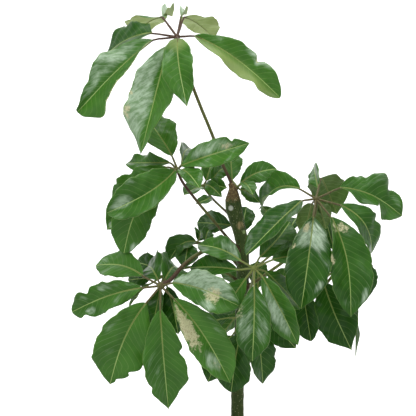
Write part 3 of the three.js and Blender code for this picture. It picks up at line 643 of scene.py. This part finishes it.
def upper_face(colours):
    """Glossy green, with pale veins, worn margins, painted silvery reflections and bleached
    patches; blades in shadow are darkened with painted shade.
    """
    finish = Finish("leaf_upper_face", Specular_IOR_Level=0.30)
    blotch = finish.cloud(22, 2.0)
    fine = finish.cloud(420, 4.0, 0.65)
    mottle = finish.cloud(130, 4.0, 0.7)
    across = finish.own("across")
    # The silvery patches are a painted reflection, laid into the colour.
    painted_sheen = finish.own("painted_sheen")
    bleach = finish.own("bleach")
    # A low tint darkens a blade towards deep green. On the inner, lower and rear leaves this is
    # painted shade.
    green = finish.mixed(colours.leaf_deep, colours.leaf_fresh,
                         blotch * 0.8 + finish.own("tint_and_painted_shade") * 0.9 - 0.38)
    green = finish.mixed(green, colours.leaf_under, finish.own("olive") * 0.8)
    veins = side_vein_line(finish, 0.08)
    green = finish.mixed(green, colours.leaf_vein, veins * (0.2 - 0.12 * across))
    between_veins = finish.node("ShaderNodeCombineXYZ", None, {
        "X": finish.own("side_vein") * 1.3, "Y": finish.own("rib_mm") * 0.07,
        "Z": finish.own("tint_and_painted_shade") * 40})
    streaks = finish.cloud(1.0, 5.0, 0.65, between_veins)
    haze = finish.cloud(0.35, 3.0, 0.6, between_veins)
    # Painted reflection: a silvery sheen painted into the base colour, streaked between the veins
    # and paler on the veins.
    sheen = finish.rise(painted_sheen + (haze - 0.5) * 2.6, 0.25, 1.25) * finish.rise(painted_sheen, 0.02, 0.3)
    broken = finish.rise(streaks * 0.8 + mottle * 0.2, 0.36, 0.62)
    green = finish.mixed(green, colours.leaf_painted_sheen, sheen * (0.3 + 0.6 * broken))
    green = finish.mixed(green, colours.leaf_painted_sheen, veins * painted_sheen * 0.3)
    dry = finish.mixed(colours.leaf_bleached, colours.leaf_scorched,
                       finish.rise(fine, 0.50, 0.62) * 0.7)
    worn = finish.rise(mottle * 2.2 + bleach, 1.55, 2.05) * finish.rise(bleach, 0.02, 0.4)
    green = finish.mixed(green, dry, worn * 0.9)
    green = finish.mixed(green, colours.leaf_vein, finish.rise(across, 0.96, 1.0) * 0.25)
    green = finish.mixed(green, colours.leaf_vein, rib_line(finish, 1.5, 0.5) * 0.85)
    height = fine * 0.15 + haze * 0.6 - side_vein_line(finish, 0.25) * 0.25
    height = height - rib_line(finish, 1.8, 0.7) * 0.6
    return finish.wear(
        Base_Color=green,
        Roughness=0.24 + finish.cloud(60) * 0.12 + bleach * 0.25,
        Normal=finish.bump(height, 0.0006, 0.8))


def lower_face(colours):
    """Dull olive, with raised veins, pale on some leaves and darkened with painted shade on others.
    """
    finish = Finish("leaf_lower_face", Specular_IOR_Level=0.22)
    blotch = finish.cloud(30, 3.0)
    pale = finish.mixed(colours.leaf_under_painted_shade, colours.leaf_under, finish.own("pallor_over_painted_shade"))
    pale = finish.mixed(pale, colours.leaf_fresh, blotch * 0.4)
    veins = side_vein_line(finish, 0.12) * (0.3 - 0.2 * finish.own("across"))
    pale = finish.mixed(pale, colours.leaf_vein, veins)
    pale = finish.mixed(pale, colours.leaf_vein, rib_line(finish, 2.2, 0.8) * 0.6)
    height = side_vein_line(finish, 0.2) * 0.6 + finish.cloud(500, 4.0) * 0.25
    return finish.wear(
        Base_Color=pale, Roughness=0.48 + blotch * 0.12, Normal=finish.bump(height, 0.0005))


def stalk_skin(colours):
    """Green to brown skin with fine lengthwise streaks and pale flecks."""
    finish = Finish("stalk_skin", Specular_IOR_Level=0.25)
    streaks = finish.cloud(1.0, 4.0, 0.6, finish.stretched((420, 420, 60)))
    brown = finish.own("brown")
    share = finish.rise(brown + (streaks - 0.5) * 0.7, 0.15, 0.85)
    skin = finish.mixed(colours.stalk_green, colours.stalk_brown, share)
    flecks = 1 - finish.rise(finish.cells(330), 0.08, 0.22)
    skin = finish.mixed(skin, colours.leaf_bleached, flecks * 0.3 * brown)
    return finish.wear(
        Base_Color=skin, Roughness=0.42 + streaks * 0.2,
        Normal=finish.bump(streaks * 0.6 + flecks * 0.3, 0.0004))


def bark_skin(colours):
    """Green bark with rings, corky flecks, a tan scar, a shallow scar with a painted white
    highlight, and a brown papery growing tip.
    """
    finish = Finish("trunk_bark", Specular_IOR_Level=0.4)
    grain = finish.cloud(1.0, 5.0, 0.65, finish.stretched((260, 260, 45)))
    rings = finish.cloud(1.0, 2.0, 0.5, finish.stretched((9, 9, 170)))
    skin = finish.mixed(
        colours.bark_green, colours.stalk_green, finish.rise(grain, 0.45, 0.85) * 0.55)
    skin = finish.mixed(skin, colours.bark_brown, finish.rise(rings, 0.55, 0.75) * 0.35)
    patchy = finish.cloud(260, 4.0, 0.7)
    sheath = finish.mixed(
        colours.bark_brown, colours.leaf_scorched, finish.rise(patchy, 0.45, 0.65))
    skin = finish.mixed(
        skin, sheath, finish.rise(finish.own("papery") + (patchy - 0.5) * 1.2, 0.3, 0.8))
    flecks = 1 - finish.rise(finish.cells(210), 0.10, 0.26)
    skin = finish.mixed(skin, colours.leaf_bleached, flecks * 0.45)
    scar_and_painted_glint, tan_scar, pale_spot = (
        finish.near(middle, reach) for middle, reach, _ in (SCAR_AND_PAINTED_GLINT, TAN_SCAR, PALE_SPOT))
    # Painted highlight: the white glint on the trunk's shallow scar.
    skin = finish.mixed(skin, SCAR_AND_PAINTED_GLINT[2], scar_and_painted_glint * 0.9)
    skin = finish.mixed(skin, TAN_SCAR[2], tan_scar * finish.rise(grain, 0.35, 0.6))
    skin = finish.mixed(skin, PALE_SPOT[2], pale_spot * 0.8)
    relief = grain * 0.5 + rings * 0.9 + flecks * 0.4 - scar_and_painted_glint * 0.5
    return finish.wear(
        Base_Color=skin, Roughness=0.62 + grain * 0.25, Normal=finish.bump(relief, 0.0009))


def stoneware(colours):
    """Plain matt stoneware with fine dark grit and faint turning marks."""
    finish = Finish("stoneware", Specular_IOR_Level=0.22)
    clay = finish.cloud(9, 4.0)
    grit = 1 - finish.rise(finish.cells(520), 0.06, 0.16)
    turning = finish.cloud(1.0, 2.0, 0.5, finish.stretched((2, 2, 260)))
    tone = finish.mixed(colours.stoneware, CLAY_SHADE, clay * 0.5)
    tone = finish.mixed(tone, CLAY_GRIT, grit * finish.rise(clay, 0.4, 0.6) * 0.7)
    return finish.wear(
        Base_Color=tone, Roughness=0.66 + clay * 0.14,
        Normal=finish.bump(turning * 0.6 + finish.cloud(900) * 0.3 - grit * 0.4, 0.0005))


def damp_soil(colours):
    """Dark crumbly soil with pale grains."""
    finish = Finish("potting_soil", Specular_IOR_Level=0.25)
    crumbs = finish.cloud(230, 6.0, 0.7)
    grains = 1 - finish.rise(finish.cells(150), 0.08, 0.14)
    tone = finish.mixed(colours.soil, DRY_CRUMB, finish.rise(crumbs, 0.4, 0.75))
    tone = finish.mixed(tone, PALE_GRAIN, grains * finish.rise(finish.cloud(60), 0.55, 0.7))
    return finish.wear(
        Base_Color=tone, Roughness=0.86 + crumbs * 0.12,
        Normal=finish.bump(crumbs + grains * 0.4, 0.003))


def backdrop_paint(setting):
    """Plain near-white paint that glows of itself, most behind the plant, so that the background
    stays pale.
    """
    finish = Finish("backdrop", Specular_IOR_Level=0.1, Emission_Strength=setting.backdrop_glow)
    tone = finish.mixed(*BACKDROP_TONES, finish.cloud(0.8, 1.0))
    depth, aside = (
        finish.node("ShaderNodeSeparateXYZ", None, {"Vector": finish.place}, out=axis)
        for axis in "YX")
    behind = finish.rise(depth, -0.2, 0.9) * (1 - finish.rise(aside * aside, 2.6, 12.0))
    glow = finish.mixed(BACKDROP_DIM, BACKDROP_LIT, behind)
    return finish.wear(Base_Color=tone, Emission_Color=glow, Roughness=0.9)


# ---------------------------------------------------------------- making and finishing pieces

def add_ready():
    """Leaves object mode with nothing selected, so that an operator acts only on what it adds."""
    if bpy.context.object and bpy.context.object.mode != "OBJECT":
        bpy.ops.object.mode_set(mode="OBJECT")
    bpy.ops.object.select_all(action="DESELECT")


def choose(*objects):
    """Selects these objects and makes the first one active."""
    add_ready()
    for chosen in objects:
        chosen.select_set(True)
    bpy.context.view_layer.objects.active = objects[0]


def joined(objects, name):
    """Several objects as one, under a new name."""
    choose(*objects)
    if len(objects) > 1:
        bpy.ops.object.join()
    whole = bpy.context.object
    whole.name = whole.data.name = name
    return whole


def apply_modifiers(piece):
    """Bakes every modifier of a piece into its mesh."""
    choose(piece)
    for modifier in list(piece.modifiers):
        bpy.ops.object.modifier_apply(modifier=modifier.name)


def settle(piece, materials):
    """Puts a finished piece's place in its mesh and gives it its materials."""
    choose(piece)
    bpy.ops.object.transform_apply(location=True, rotation=True, scale=True)
    if not piece.data.materials:
        for material in materials:
            piece.data.materials.append(material)


def belong(piece, node):
    """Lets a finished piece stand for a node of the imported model."""
    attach(piece, "root")
    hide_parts(node)


def points_of(piece):
    """The places of a mesh's corners, one row each."""
    places = np.empty(len(piece.data.vertices) * 3)
    piece.data.vertices.foreach_get("co", places)
    return places.reshape(-1, 3)


def move_points(piece, places):
    """Moves a mesh's corners to new places."""
    piece.data.vertices.foreach_set("co", np.asarray(places, dtype=np.float32).ravel())
    piece.data.update()


def carry(piece, name, values):
    """Gives a mesh a number at each corner, for its material to read."""
    layer = piece.data.attributes.new(name, "FLOAT", "POINT")
    layer.data.foreach_set("value", np.asarray(values, dtype=np.float32).ravel())


def turned_shell(name, profile, sides):
    """A closed round shell: a filled circle is extruded ring by ring along a profile of radius
    and height (mm)."""
    add_ready()
    (radius, height), *rest = profile
    bpy.ops.mesh.primitive_circle_add(
        vertices=sides, radius=radius * MM, location=(0, 0, height * MM), fill_type="NGON")
    piece = bpy.context.object
    piece.name = piece.data.name = name
    bpy.ops.object.transform_apply(location=True, rotation=True, scale=True)
    bpy.ops.object.mode_set(mode="EDIT")
    bpy.ops.mesh.select_mode(type="EDGE")
    bpy.ops.mesh.select_all(action="SELECT")
    bpy.ops.mesh.extrude_region_move(
        TRANSFORM_OT_translate={"value": (0, 0, (rest[0][1] - height) * MM)})
    for step, (next_radius, next_height) in enumerate(rest):
        if step:
            bpy.ops.mesh.extrude_region_move(
                TRANSFORM_OT_translate={"value": (0, 0, (next_height - height) * MM)})
        scale = next_radius / radius
        bpy.ops.transform.resize(
            value=(scale, scale, 1), center_override=(0, 0, next_height * MM))
        radius, height = next_radius, next_height
    bpy.ops.mesh.select_all(action="SELECT")
    bpy.ops.mesh.remove_doubles(threshold=1e-6)
    bpy.ops.mesh.normals_make_consistent(inside=False)
    bpy.ops.object.mode_set(mode="OBJECT")
    return piece


def smooth_line(points, each):
    """A smooth line through points, with each places in every stretch between two of them."""
    points = [np.asarray(point, dtype=float) for point in points]
    line = [2 * points[0] - points[1], *points, 2 * points[-1] - points[-2]]
    places = []
    for a, b, c, d in zip(line, line[1:], line[2:], line[3:]):
        before, here, after = (np.linalg.norm(q - p) ** 0.5 for p, q in ((a, b), (b, c), (c, d)))
        leave = ((b - a) / before - (c - a) / (before + here) + (c - b) / here) * here
        arrive = ((c - b) / here - (d - b) / (here + after) + (d - c) / after) * here
        for s in np.linspace(0, 1, each, endpoint=False):
            places.append(
                (2 * s**3 - 3 * s**2 + 1) * b + (s**3 - 2 * s**2 + s) * leave
                + (3 * s**2 - 2 * s**3) * c + (s**3 - s**2) * arrive)
    return np.array([*places, points[-1]])


def shares(places):
    """How far along a line each of its places lies, from 0 to 1."""
    steps = np.linalg.norm(np.diff(places, axis=0), axis=1)
    return np.concatenate([[0], np.cumsum(steps)]) / steps.sum()


def rod(places_mm, radii_mm, roundness, **carried):
    """A round rod along a line, whose radius changes. carried gives a number at each place of
    the line for the rod's mesh to carry."""
    add_ready()
    bpy.ops.curve.primitive_bezier_curve_add()
    curve = bpy.context.object
    curve.data.dimensions = "3D"
    curve.data.bevel_depth = MM
    curve.data.bevel_resolution = roundness
    curve.data.resolution_u = 2
    curve.data.use_fill_caps = True
    spline = curve.data.splines[0]
    spline.bezier_points.add(len(places_mm) - 2)
    for knot, place, radius in zip(spline.bezier_points, places_mm, radii_mm):
        knot.handle_left_type = knot.handle_right_type = "AUTO"
        knot.co = Vector(place) * MM
        knot.radius = radius
    bpy.ops.object.convert(target="MESH")
    made = bpy.context.object
    bpy.ops.object.shade_smooth()
    nearest = np.argmin(
        np.linalg.norm(points_of(made)[:, None] / MM - np.asarray(places_mm)[None], axis=2), axis=1)
    for name, values in carried.items():
        carry(made, name, np.asarray(values)[nearest])
    return made


# ---------------------------------------------------------------- blades

def unit(rows):
    """Rows of numbers as directions of length 1."""
    return rows / np.linalg.norm(rows, axis=-1, keepdims=True)


def wound(vectors, axis, angles):
    """Vectors turned about an axis by angles, in radians."""
    cosine, sine = np.cos(angles)[:, None], np.sin(angles)[:, None]
    along = (vectors @ axis)[:, None] * axis
    return vectors * cosine + np.cross(axis, vectors) * sine + along * (1 - cosine)


def outline(t, tip_power):
    """Half a blade's width at a share of its length, from 0 at the ends to 1 at the belly."""
    towards = np.clip(t, 0, BLADE_BELLY) / BLADE_BELLY
    beyond = np.clip((t - BLADE_BELLY) / (1 - BLADE_BELLY), 0, 1)
    rising = np.sin(np.pi / 2 * towards**BASE_LENGTHENING) ** BASE_ROUNDING
    falling = np.maximum(np.cos(np.pi / 2 * beyond**TIP_DELAY), 0) ** tip_power
    return np.where(t < BLADE_BELLY, rising, falling)


class BladeForm:
    """The curved surface of one blade, in millimetres."""

    def __init__(self, whole, shape, index):
        self.shape = shape
        self.index = index
        self.hub = np.array(whole["hub"], dtype=float)
        self.base = self.hub + shape["base"]
        self.chord = np.subtract(shape["tip"], shape["base"]).astype(float)
        self.length = np.linalg.norm(self.chord)
        self.along = self.chord / self.length
        facing = np.array(whole["facing"], dtype=float)
        flat = unit((facing - (facing @ self.along) * self.along)[None])
        self.normal = wound(flat, self.along, np.array([math.radians(shape["roll"])]))[0]
        self.side = np.cross(self.along, self.normal)

    def rib(self, t):
        """Places on the midrib."""
        bow = np.sin(np.pi * np.clip(t, 0, 1) ** BOW_PEAK)[:, None]
        lift = self.normal * self.shape["arch"] + self.side * self.shape["sweep"]
        return self.base + self.chord * t[:, None] + lift * bow

    def frames(self, t):
        """The directions to the side of the midrib and out of the upper face."""
        ahead, behind = np.minimum(t + TANGENT_STEP, 1), np.maximum(t - TANGENT_STEP, 0)
        tangent = unit(self.rib(ahead) - self.rib(behind))
        angles = np.radians(self.shape["twist"]) * (t - 0.5)
        upright = wound(np.repeat(self.normal[None], len(t), axis=0), self.along, angles)
        side = np.cross(self.along, upright)
        side = unit(side - (side * tangent).sum(axis=1, keepdims=True) * tangent)
        return side, np.cross(side, tangent)

    def half_width(self, t):
        """The distance from the midrib to either even margin."""
        full = self.shape["width"] / 2 * outline(t, self.shape["tip_power"])
        return np.maximum(full, NARROWEST)

    def surface(self, t, v, rim, pucker):
        """Places on the blade for shares t of its length and v of its half width, which is
        scaled by rim. pucker is the swelling between the side veins."""
        shape = self.shape
        side, normal = self.frames(t)
        width = self.half_width(t) * rim
        fold = math.radians(shape["fold"])
        reach = np.abs(v)
        phase = self.index * BLADE_PHASE_STEP + np.where(v > 0, RIGHT_MARGIN_PHASE, 0)
        wave = shape["wave"] * shape["width"] * np.sin(2 * np.pi * MARGIN_WAVES * t + phase)
        wave *= np.minimum(1, MARGIN_WAVE_ONSET * outline(t, 1))
        soft = np.sqrt(reach**2 + FOLD_SOFTNESS**2) - FOLD_SOFTNESS
        crown = CROWN * width * reach * (1 - reach)
        lift = width * math.sin(fold) * soft + wave * reach**MARGIN_WAVE_REACH + crown + pucker
        across = width * math.cos(fold) * v
        return self.rib(t) + side * across[:, None] + normal * lift[:, None]


def patched(kind, mark, t, v):
    """How strong one kind of patch is on each corner of a blade."""
    strength = np.zeros(len(t))
    for made_as, along, across, length, width, full in PATCHES.get(mark, ()):
        if made_as == kind:
            away = np.hypot((t - along) / length, (v - across) / width)
            strength = np.maximum(strength, full * np.clip(PATCH_FADE - away, 0, 1))
    return strength


def blade_sheet(form, mark, sizes, chance):
    """One blade as a sheet with no thickness yet, which carries the numbers its finishes read. mark
    is its leaf's name and its place in the leaf."""
    add_ready()
    bpy.ops.mesh.primitive_grid_add(x_subdivisions=ROWS, y_subdivisions=COLUMNS, size=1)
    sheet = bpy.context.object
    flat = points_of(sheet)
    even = flat[:, 0] + 0.5
    t = even - END_CROWDING * np.sin(2 * np.pi * even) / (2 * np.pi)
    v = -np.sign(flat[:, 1]) * (2 * np.abs(flat[:, 1])) ** RIB_CROWDING
    shape = form.shape
    side_veins = max(FEWEST_VEINS, round(form.length * MM / sizes.vein_spacing))
    slope = VEIN_SLOPE * shape["width"] / form.length
    phase = side_veins * (t - slope * np.abs(v) ** VEIN_CURVE) + np.where(v > 0, VEIN_STAGGER, 0)
    strays, often = VEIN_WANDERING
    phase += strays * np.sin(often * t + chance.uniform(0, 6)) * np.abs(v)
    rim = np.ones(len(t))
    for hand in (-1, 1):
        bumps = sum(
            size * np.sin(waves * np.pi * t + chance.uniform(0, 2 * np.pi))
            for waves, size in MARGIN_BUMPS)
        rim += np.where(np.sign(v) == hand, bumps, 0)
    for place, hand, depth, reach in NOTCHES.get(mark, ()):
        cut = depth * np.exp(-(((t - place) / reach) ** 2))
        rim -= np.where(np.sign(v) == hand, cut, 0)
    swell = 0.5 - 0.5 * np.cos(2 * np.pi * phase)
    fullness = np.minimum(1, np.abs(v) * 5) * (1 - np.abs(v) ** 3) * outline(t, 1)
    broad = min(1, shape["width"] / FULL_QUILT_WIDTH)
    pucker = sizes.quilting / MM * swell * fullness * broad
    free = np.minimum(1, 2.5 * np.abs(v)) * outline(t, 1)
    for waves, lean, size in BUCKLES:
        start = chance.uniform(0, 2 * np.pi)
        buckle = np.sin(2 * np.pi * (waves * t + lean * v) + start)
        pucker = pucker + size * shape["width"] * buckle * free
    places = form.surface(t, v, rim, pucker)
    move_points(sheet, places * MM)
    carry(sheet, "rib_mm", form.half_width(t) * np.abs(v))
    carry(sheet, "across", np.abs(v))
    carry(sheet, "along", t)
    carry(sheet, "side_vein", phase + VEIN_COUNT_START)
    # A blade's tint is its own green together with painted shade for blades in shadow.
    tint_and_painted_shade = FRESHNESS_AND_PAINTED_SHADE[mark[0]] + BLADE_FRESHER_AND_PAINTED_SHADE.get(mark, 0)
    carry(sheet, "tint_and_painted_shade", np.full(len(t), tint_and_painted_shade + chance.uniform(-TINT_SPREAD, TINT_SPREAD)))
    carry(sheet, "pallor_over_painted_shade", np.full(len(t), UNDER_PALLOR_OVER_PAINTED_SHADE.get(mark[0], USUAL_UNDER_PALLOR_OVER_PAINTED_SHADE)))
    for kind in ("painted_sheen", "bleach", "olive"):
        carry(sheet, kind, patched(kind, mark, t, v))
    bpy.ops.object.shade_smooth()
    return sheet


def thicken(sheet, thickness):
    """Gives a sheet its thickness, with the lower face and the rim in the second material."""
    solidify = sheet.modifiers.new("thickness", "SOLIDIFY")
    solidify.thickness = thickness
    solidify.offset = 0
    solidify.material_offset = 1
    solidify.use_rim = True
    apply_modifiers(sheet)


# ---------------------------------------------------------------- operators

def pot_radius(z, height):
    """The outer radius of a pot of some height, at z above its foot."""
    return POT_FOOT_RADIUS + (POT_TOP_RADIUS - POT_FOOT_RADIUS) * z / height


def soil_crown(radius, edge_radius):
    """How much higher than at the wall the soil lies at a distance from the trunk."""
    return SOIL_CROWN * (1 - (radius / edge_radius) ** 2)


class PLANT_OT_studio(bpy.types.Operator):
    """Lays the pale floor and backdrop, and sets the lamps and the camera"""

    bl_idname = "plant.studio"
    bl_label = "Studio"

    def execute(self, context):
        setting = context.scene.plant_studio
        radius = setting.room_radius / MM
        cove = [
            (radius * (FLAT_FLOOR_SHARE + (1 - FLAT_FLOOR_SHARE) * math.sin(angle)),
             radius * WALL_SHARE * (1 - math.cos(angle)))
            for angle in np.radians(np.arange(0, 91, 9))
        ]
        profile = [(radius * 0.02, 0), (radius * 0.2, 0), *cove]
        room = turned_shell("backdrop", profile, 96)
        choose(room)
        bpy.ops.object.shade_smooth()
        settle(room, [backdrop_paint(setting)])

        world = bpy.data.worlds.new("room_light")
        context.scene.world = world
        world.use_nodes = True
        background = world.node_tree.nodes["Background"]
        background.inputs["Color"].default_value = (1, 1, 1, 1)
        background.inputs["Strength"].default_value = setting.room_glow
        context.scene.view_settings.view_transform = "Standard"

        for name, bearing, height, distance, size, share in LAMPS:
            turn, rise = math.radians(bearing), math.radians(height)
            way = Vector((
                math.sin(turn) * math.cos(rise), -math.cos(turn) * math.cos(rise), math.sin(rise)))
            add_ready()
            bpy.ops.object.light_add(type="AREA", location=Vector(LAMPS_AIM) + way * distance)
            lamp = context.object
            lamp.name = name
            lamp.rotation_euler = way.to_track_quat("Z", "Y").to_euler()
            lamp.data.shape = "SQUARE"
            lamp.data.size = size
            lamp.data.energy = setting.lamp_strength * share * math.pi * size**2
            lamp.visible_camera = False

        bpy.ops.object.camera_add(
            location=setting.camera_place,
            rotation=(math.pi / 2 - setting.camera_dip, 0, 0))
        camera = context.object
        camera.data.lens = setting.lens
        camera.data.sensor_width = 36
        context.scene.camera = camera
        return {"FINISHED"}


class PLANT_OT_pot(bpy.types.Operator):
    """Turns the plain tapered pot with its rounded lip"""

    bl_idname = "plant.pot"
    bl_label = "Pot"

    def execute(self, context):
        height = context.scene.plant_sizes.pot_height / MM
        foot = [
            (POT_FOOT_RADIUS - POT_FOOT_ROUND * (1 - math.sin(angle)),
             POT_FOOT_ROUND * (1 - math.cos(angle)))
            for angle in np.radians(np.arange(0, 91, 18))
        ]
        lip_radius = POT_WALL / 2
        lip_height = height - lip_radius
        lip_middle = pot_radius(lip_height, height) - lip_radius
        lip = [
            (lip_middle + lip_radius * math.cos(angle), lip_height + lip_radius * math.sin(angle))
            for angle in np.radians(np.arange(0, 181, 18))
        ]
        wall = [
            (pot_radius(z, height), z) for z in np.linspace(POT_FOOT_ROUND, lip_height, 8)[1:-1]]
        inner_foot = pot_radius(POT_FLOOR, height) - POT_WALL
        profile = [
            (POT_FOOT_RADIUS * 0.5, 0), *foot, *wall, *lip,
            (inner_foot, POT_FLOOR), (1, POT_FLOOR),
        ]
        pot = turned_shell("pot_shell", profile, 96)
        choose(pot)
        bpy.ops.object.shade_smooth_by_angle(angle=math.radians(40))
        settle(pot, [stoneware(context.scene.plant_colours)])
        belong(pot, "pot")
        return {"FINISHED"}


class PLANT_OT_soil(bpy.types.Operator):
    """Fills the pot with crumbly soil"""

    bl_idname = "plant.soil"
    bl_label = "Soil"

    def execute(self, context):
        sizes = context.scene.plant_sizes
        chance = np.random.default_rng(sizes.seed)
        height = sizes.pot_height / MM
        edge = height - SOIL_DEPTH_BELOW_LIP
        edge_radius = pot_radius(edge, height) - POT_WALL
        underside = edge - SOIL_THICKNESS
        profile = [
            (pot_radius(underside, height) - POT_WALL - SOIL_PLAY, underside),
            *[(radius, edge + soil_crown(radius, edge_radius))
              for radius in np.linspace(edge_radius - SOIL_PLAY, 4, 26)],
        ]
        soil = turned_shell("potting_soil", profile, 90)
        places = points_of(soil)
        top = places[:, 2] > (edge - 5) * MM
        from_wall = edge_radius * MM - np.hypot(places[:, 0], places[:, 1])
        rough = chance.uniform(-SOIL_ROUGHNESS, SOIL_ROUGHNESS, len(places)) * MM
        places[:, 2] += np.where(top, rough * np.clip(from_wall / 0.006, 0, 1), 0)
        move_points(soil, places)
        crumbs = []
        for _ in range(CRUMBS):
            turn, out = chance.uniform(0, 2 * np.pi), math.sqrt(chance.uniform(0.03, 0.93))
            radius = out * (edge_radius - 4)
            size = chance.uniform(*CRUMB_SIZES)
            add_ready()
            bpy.ops.mesh.primitive_ico_sphere_add(
                subdivisions=1, radius=size * MM,
                location=(radius * math.cos(turn) * MM, radius * math.sin(turn) * MM,
                          (edge + soil_crown(radius, edge_radius) + size * 0.2) * MM),
                rotation=tuple(chance.uniform(0, 3, 3)))
            crumb = context.object
            crumb.scale = tuple(chance.uniform(0.6, 1.25, 3))
            crumbs.append(crumb)
        soil_all = joined([soil, *crumbs], "potting_soil")
        settle(soil_all, [damp_soil(context.scene.plant_colours)])
        belong(soil_all, "soil")
        return {"FINISHED"}


class PLANT_OT_trunk(bpy.types.Operator):
    """Grows the trunk, with its leaf scars and papery growing tip"""

    bl_idname = "plant.trunk"
    bl_label = "Trunk"

    def execute(self, context):
        chance = np.random.default_rng(context.scene.plant_sizes.seed + 1)
        knots = np.array(TRUNK, dtype=float)
        line = smooth_line([knot[:3] for knot in knots], 9)
        radius = np.interp(line[:, 2], knots[:, 2], knots[:, 3])
        from_scars = line[:, 2, None] - np.array(TRUNK_SCARS)
        ring = np.exp(-((from_scars / SCAR_REACH) ** 2)).max(axis=1)
        uneven = chance.uniform(-TRUNK_UNEVENNESS, TRUNK_UNEVENNESS, len(radius))
        radius = radius - SCAR_SWELLING / 2 + SCAR_SWELLING * ring + uneven
        papery = np.clip((line[:, 2] - SHEATH_BOTTOM) / SHEATH_FADE, 0, 1)
        trunk = rod(line, radius, 5, papery=papery)
        trunk.name = trunk.data.name = "trunk_bark"
        settle(trunk, [bark_skin(context.scene.plant_colours)])
        belong(trunk, "trunk")
        return {"FINISHED"}


class PLANT_OT_stalks(bpy.types.Operator):
    """Grows every leaf's long stalk, its hub and the short stalks and midribs of its blades"""

    bl_idname = "plant.stalks"
    bl_label = "Stalks"

    def execute(self, context):
        skin = stalk_skin(context.scene.plant_colours)
        for whole in LEAVES:
            long_brown, short_brown = STALK_BROWN.get(whole["name"], USUAL_BROWN)
            line = smooth_line([whole["hub"], *whole["stalk"]], 7)
            share = shares(line)
            length = np.linalg.norm(np.diff(line, axis=0), axis=1).sum()
            to_trunk = (1 - share) * length
            flare = np.maximum(0, 1 - to_trunk / STALK_FLARE_LENGTH) ** 1.5
            knee = STALK_KNEE_SWELLING * np.exp(-((share * length / STALK_KNEE_LENGTH) ** 2))
            radius = whole["stalk_radius"] * (STALK_SLIMNESS + (STALK_FLARE - 1) * flare + knee)
            banded = 0.75 + 0.25 * np.cos(2 * np.pi * share)
            brown = long_brown * banded + BROWN_AT_TRUNK * flare
            rods = [rod(line, radius, 3, brown=brown)]
            add_ready()
            bpy.ops.mesh.primitive_ico_sphere_add(
                subdivisions=3, radius=whole["stalk_radius"] * HUB_SCALE * MM,
                location=tuple(np.array(whole["hub"]) * MM))
            hub = context.object
            bpy.ops.object.transform_apply(location=True, rotation=True, scale=True)
            bpy.ops.object.shade_smooth()
            carry(hub, "brown", np.full(len(hub.data.vertices), short_brown))
            rods.append(hub)
            for index, shape in enumerate(whole["blades"]):
                form = BladeForm(whole, shape, index)
                t = np.linspace(0.0, MIDRIB_END, MIDRIB_KNOTS)
                side, normal = form.frames(t)
                rib = form.rib(t) - normal * MIDRIB_SINK
                line = np.array([form.hub, form.hub * 0.5 + form.base * 0.5, *rib])
                at_base, everywhere = MIDRIB_RADII
                radius = np.array([*BLADE_STALK_RADII, *(at_base * (1 - t) ** 0.8 + everywhere)])
                fading = np.maximum(0, 1 - t * BASE_BROWN_FADE)
                brown = np.array([short_brown, short_brown, *(short_brown * fading)])
                rods.append(rod(line, radius, 2, brown=brown))
            stalks = joined(rods, whole["name"] + "_stalk")
            settle(stalks, [skin])
            belong(stalks, whole["name"])
        return {"FINISHED"}


class PLANT_OT_blades(bpy.types.Operator):
    """Grows every leaf's whorl of blades"""

    bl_idname = "plant.blades"
    bl_label = "Blades"

    def execute(self, context):
        sizes = context.scene.plant_sizes
        colours = context.scene.plant_colours
        faces = [upper_face(colours), lower_face(colours)]
        chance = np.random.default_rng(sizes.seed + 2)
        for whole in LEAVES:
            sheets = []
            for index, shape in enumerate(whole["blades"]):
                form = BladeForm(whole, shape, index)
                sheet = blade_sheet(form, (whole["name"], index), sizes, chance)
                for face in faces:
                    sheet.data.materials.append(face)
                sheets.append(sheet)
            blades = joined(sheets, whole["name"] + "_blades")
            thicken(blades, sizes.blade_thickness)
            settle(blades, faces)
            belong(blades, whole["name"])
        return {"FINISHED"}


class VIEW3D_PT_plant(bpy.types.Panel):
    """Lists the plant's pieces, its sizes and its colours"""

    bl_label = "Umbrella Plant"
    bl_space_type = "VIEW_3D"
    bl_region_type = "UI"
    bl_category = "Plant"

    def draw(self, context):
        for making in OPERATORS:
            self.layout.operator(making.bl_idname)
        for group in ("plant_sizes", "plant_colours", "plant_studio"):
            held = getattr(context.scene, group)
            for name in held.bl_rna.properties.keys():
                if name not in ("rna_type", "name"):
                    self.layout.prop(held, name)


GROUPS = {"plant_sizes": PlantSizes, "plant_colours": PlantColours, "plant_studio": StudioSetting}
OPERATORS = [
    PLANT_OT_studio, PLANT_OT_pot, PLANT_OT_soil, PLANT_OT_trunk, PLANT_OT_stalks,
    PLANT_OT_blades,
]


def register():
    for name, group in GROUPS.items():
        bpy.utils.register_class(group)
        setattr(bpy.types.Scene, name, bpy.props.PointerProperty(type=group))
    for made in (*OPERATORS, VIEW3D_PT_plant):
        bpy.utils.register_class(made)


def unregister():
    for made in (VIEW3D_PT_plant, *reversed(OPERATORS)):
        bpy.utils.unregister_class(made)
    for name, group in GROUPS.items():
        delattr(bpy.types.Scene, name)
        bpy.utils.unregister_class(group)


def main():
    register()
    bpy.ops.plant.studio()
    bpy.ops.plant.pot()
    bpy.ops.plant.soil()
    bpy.ops.plant.trunk()
    bpy.ops.plant.stalks()
    bpy.ops.plant.blades()


if __name__ == "__main__":
    main()
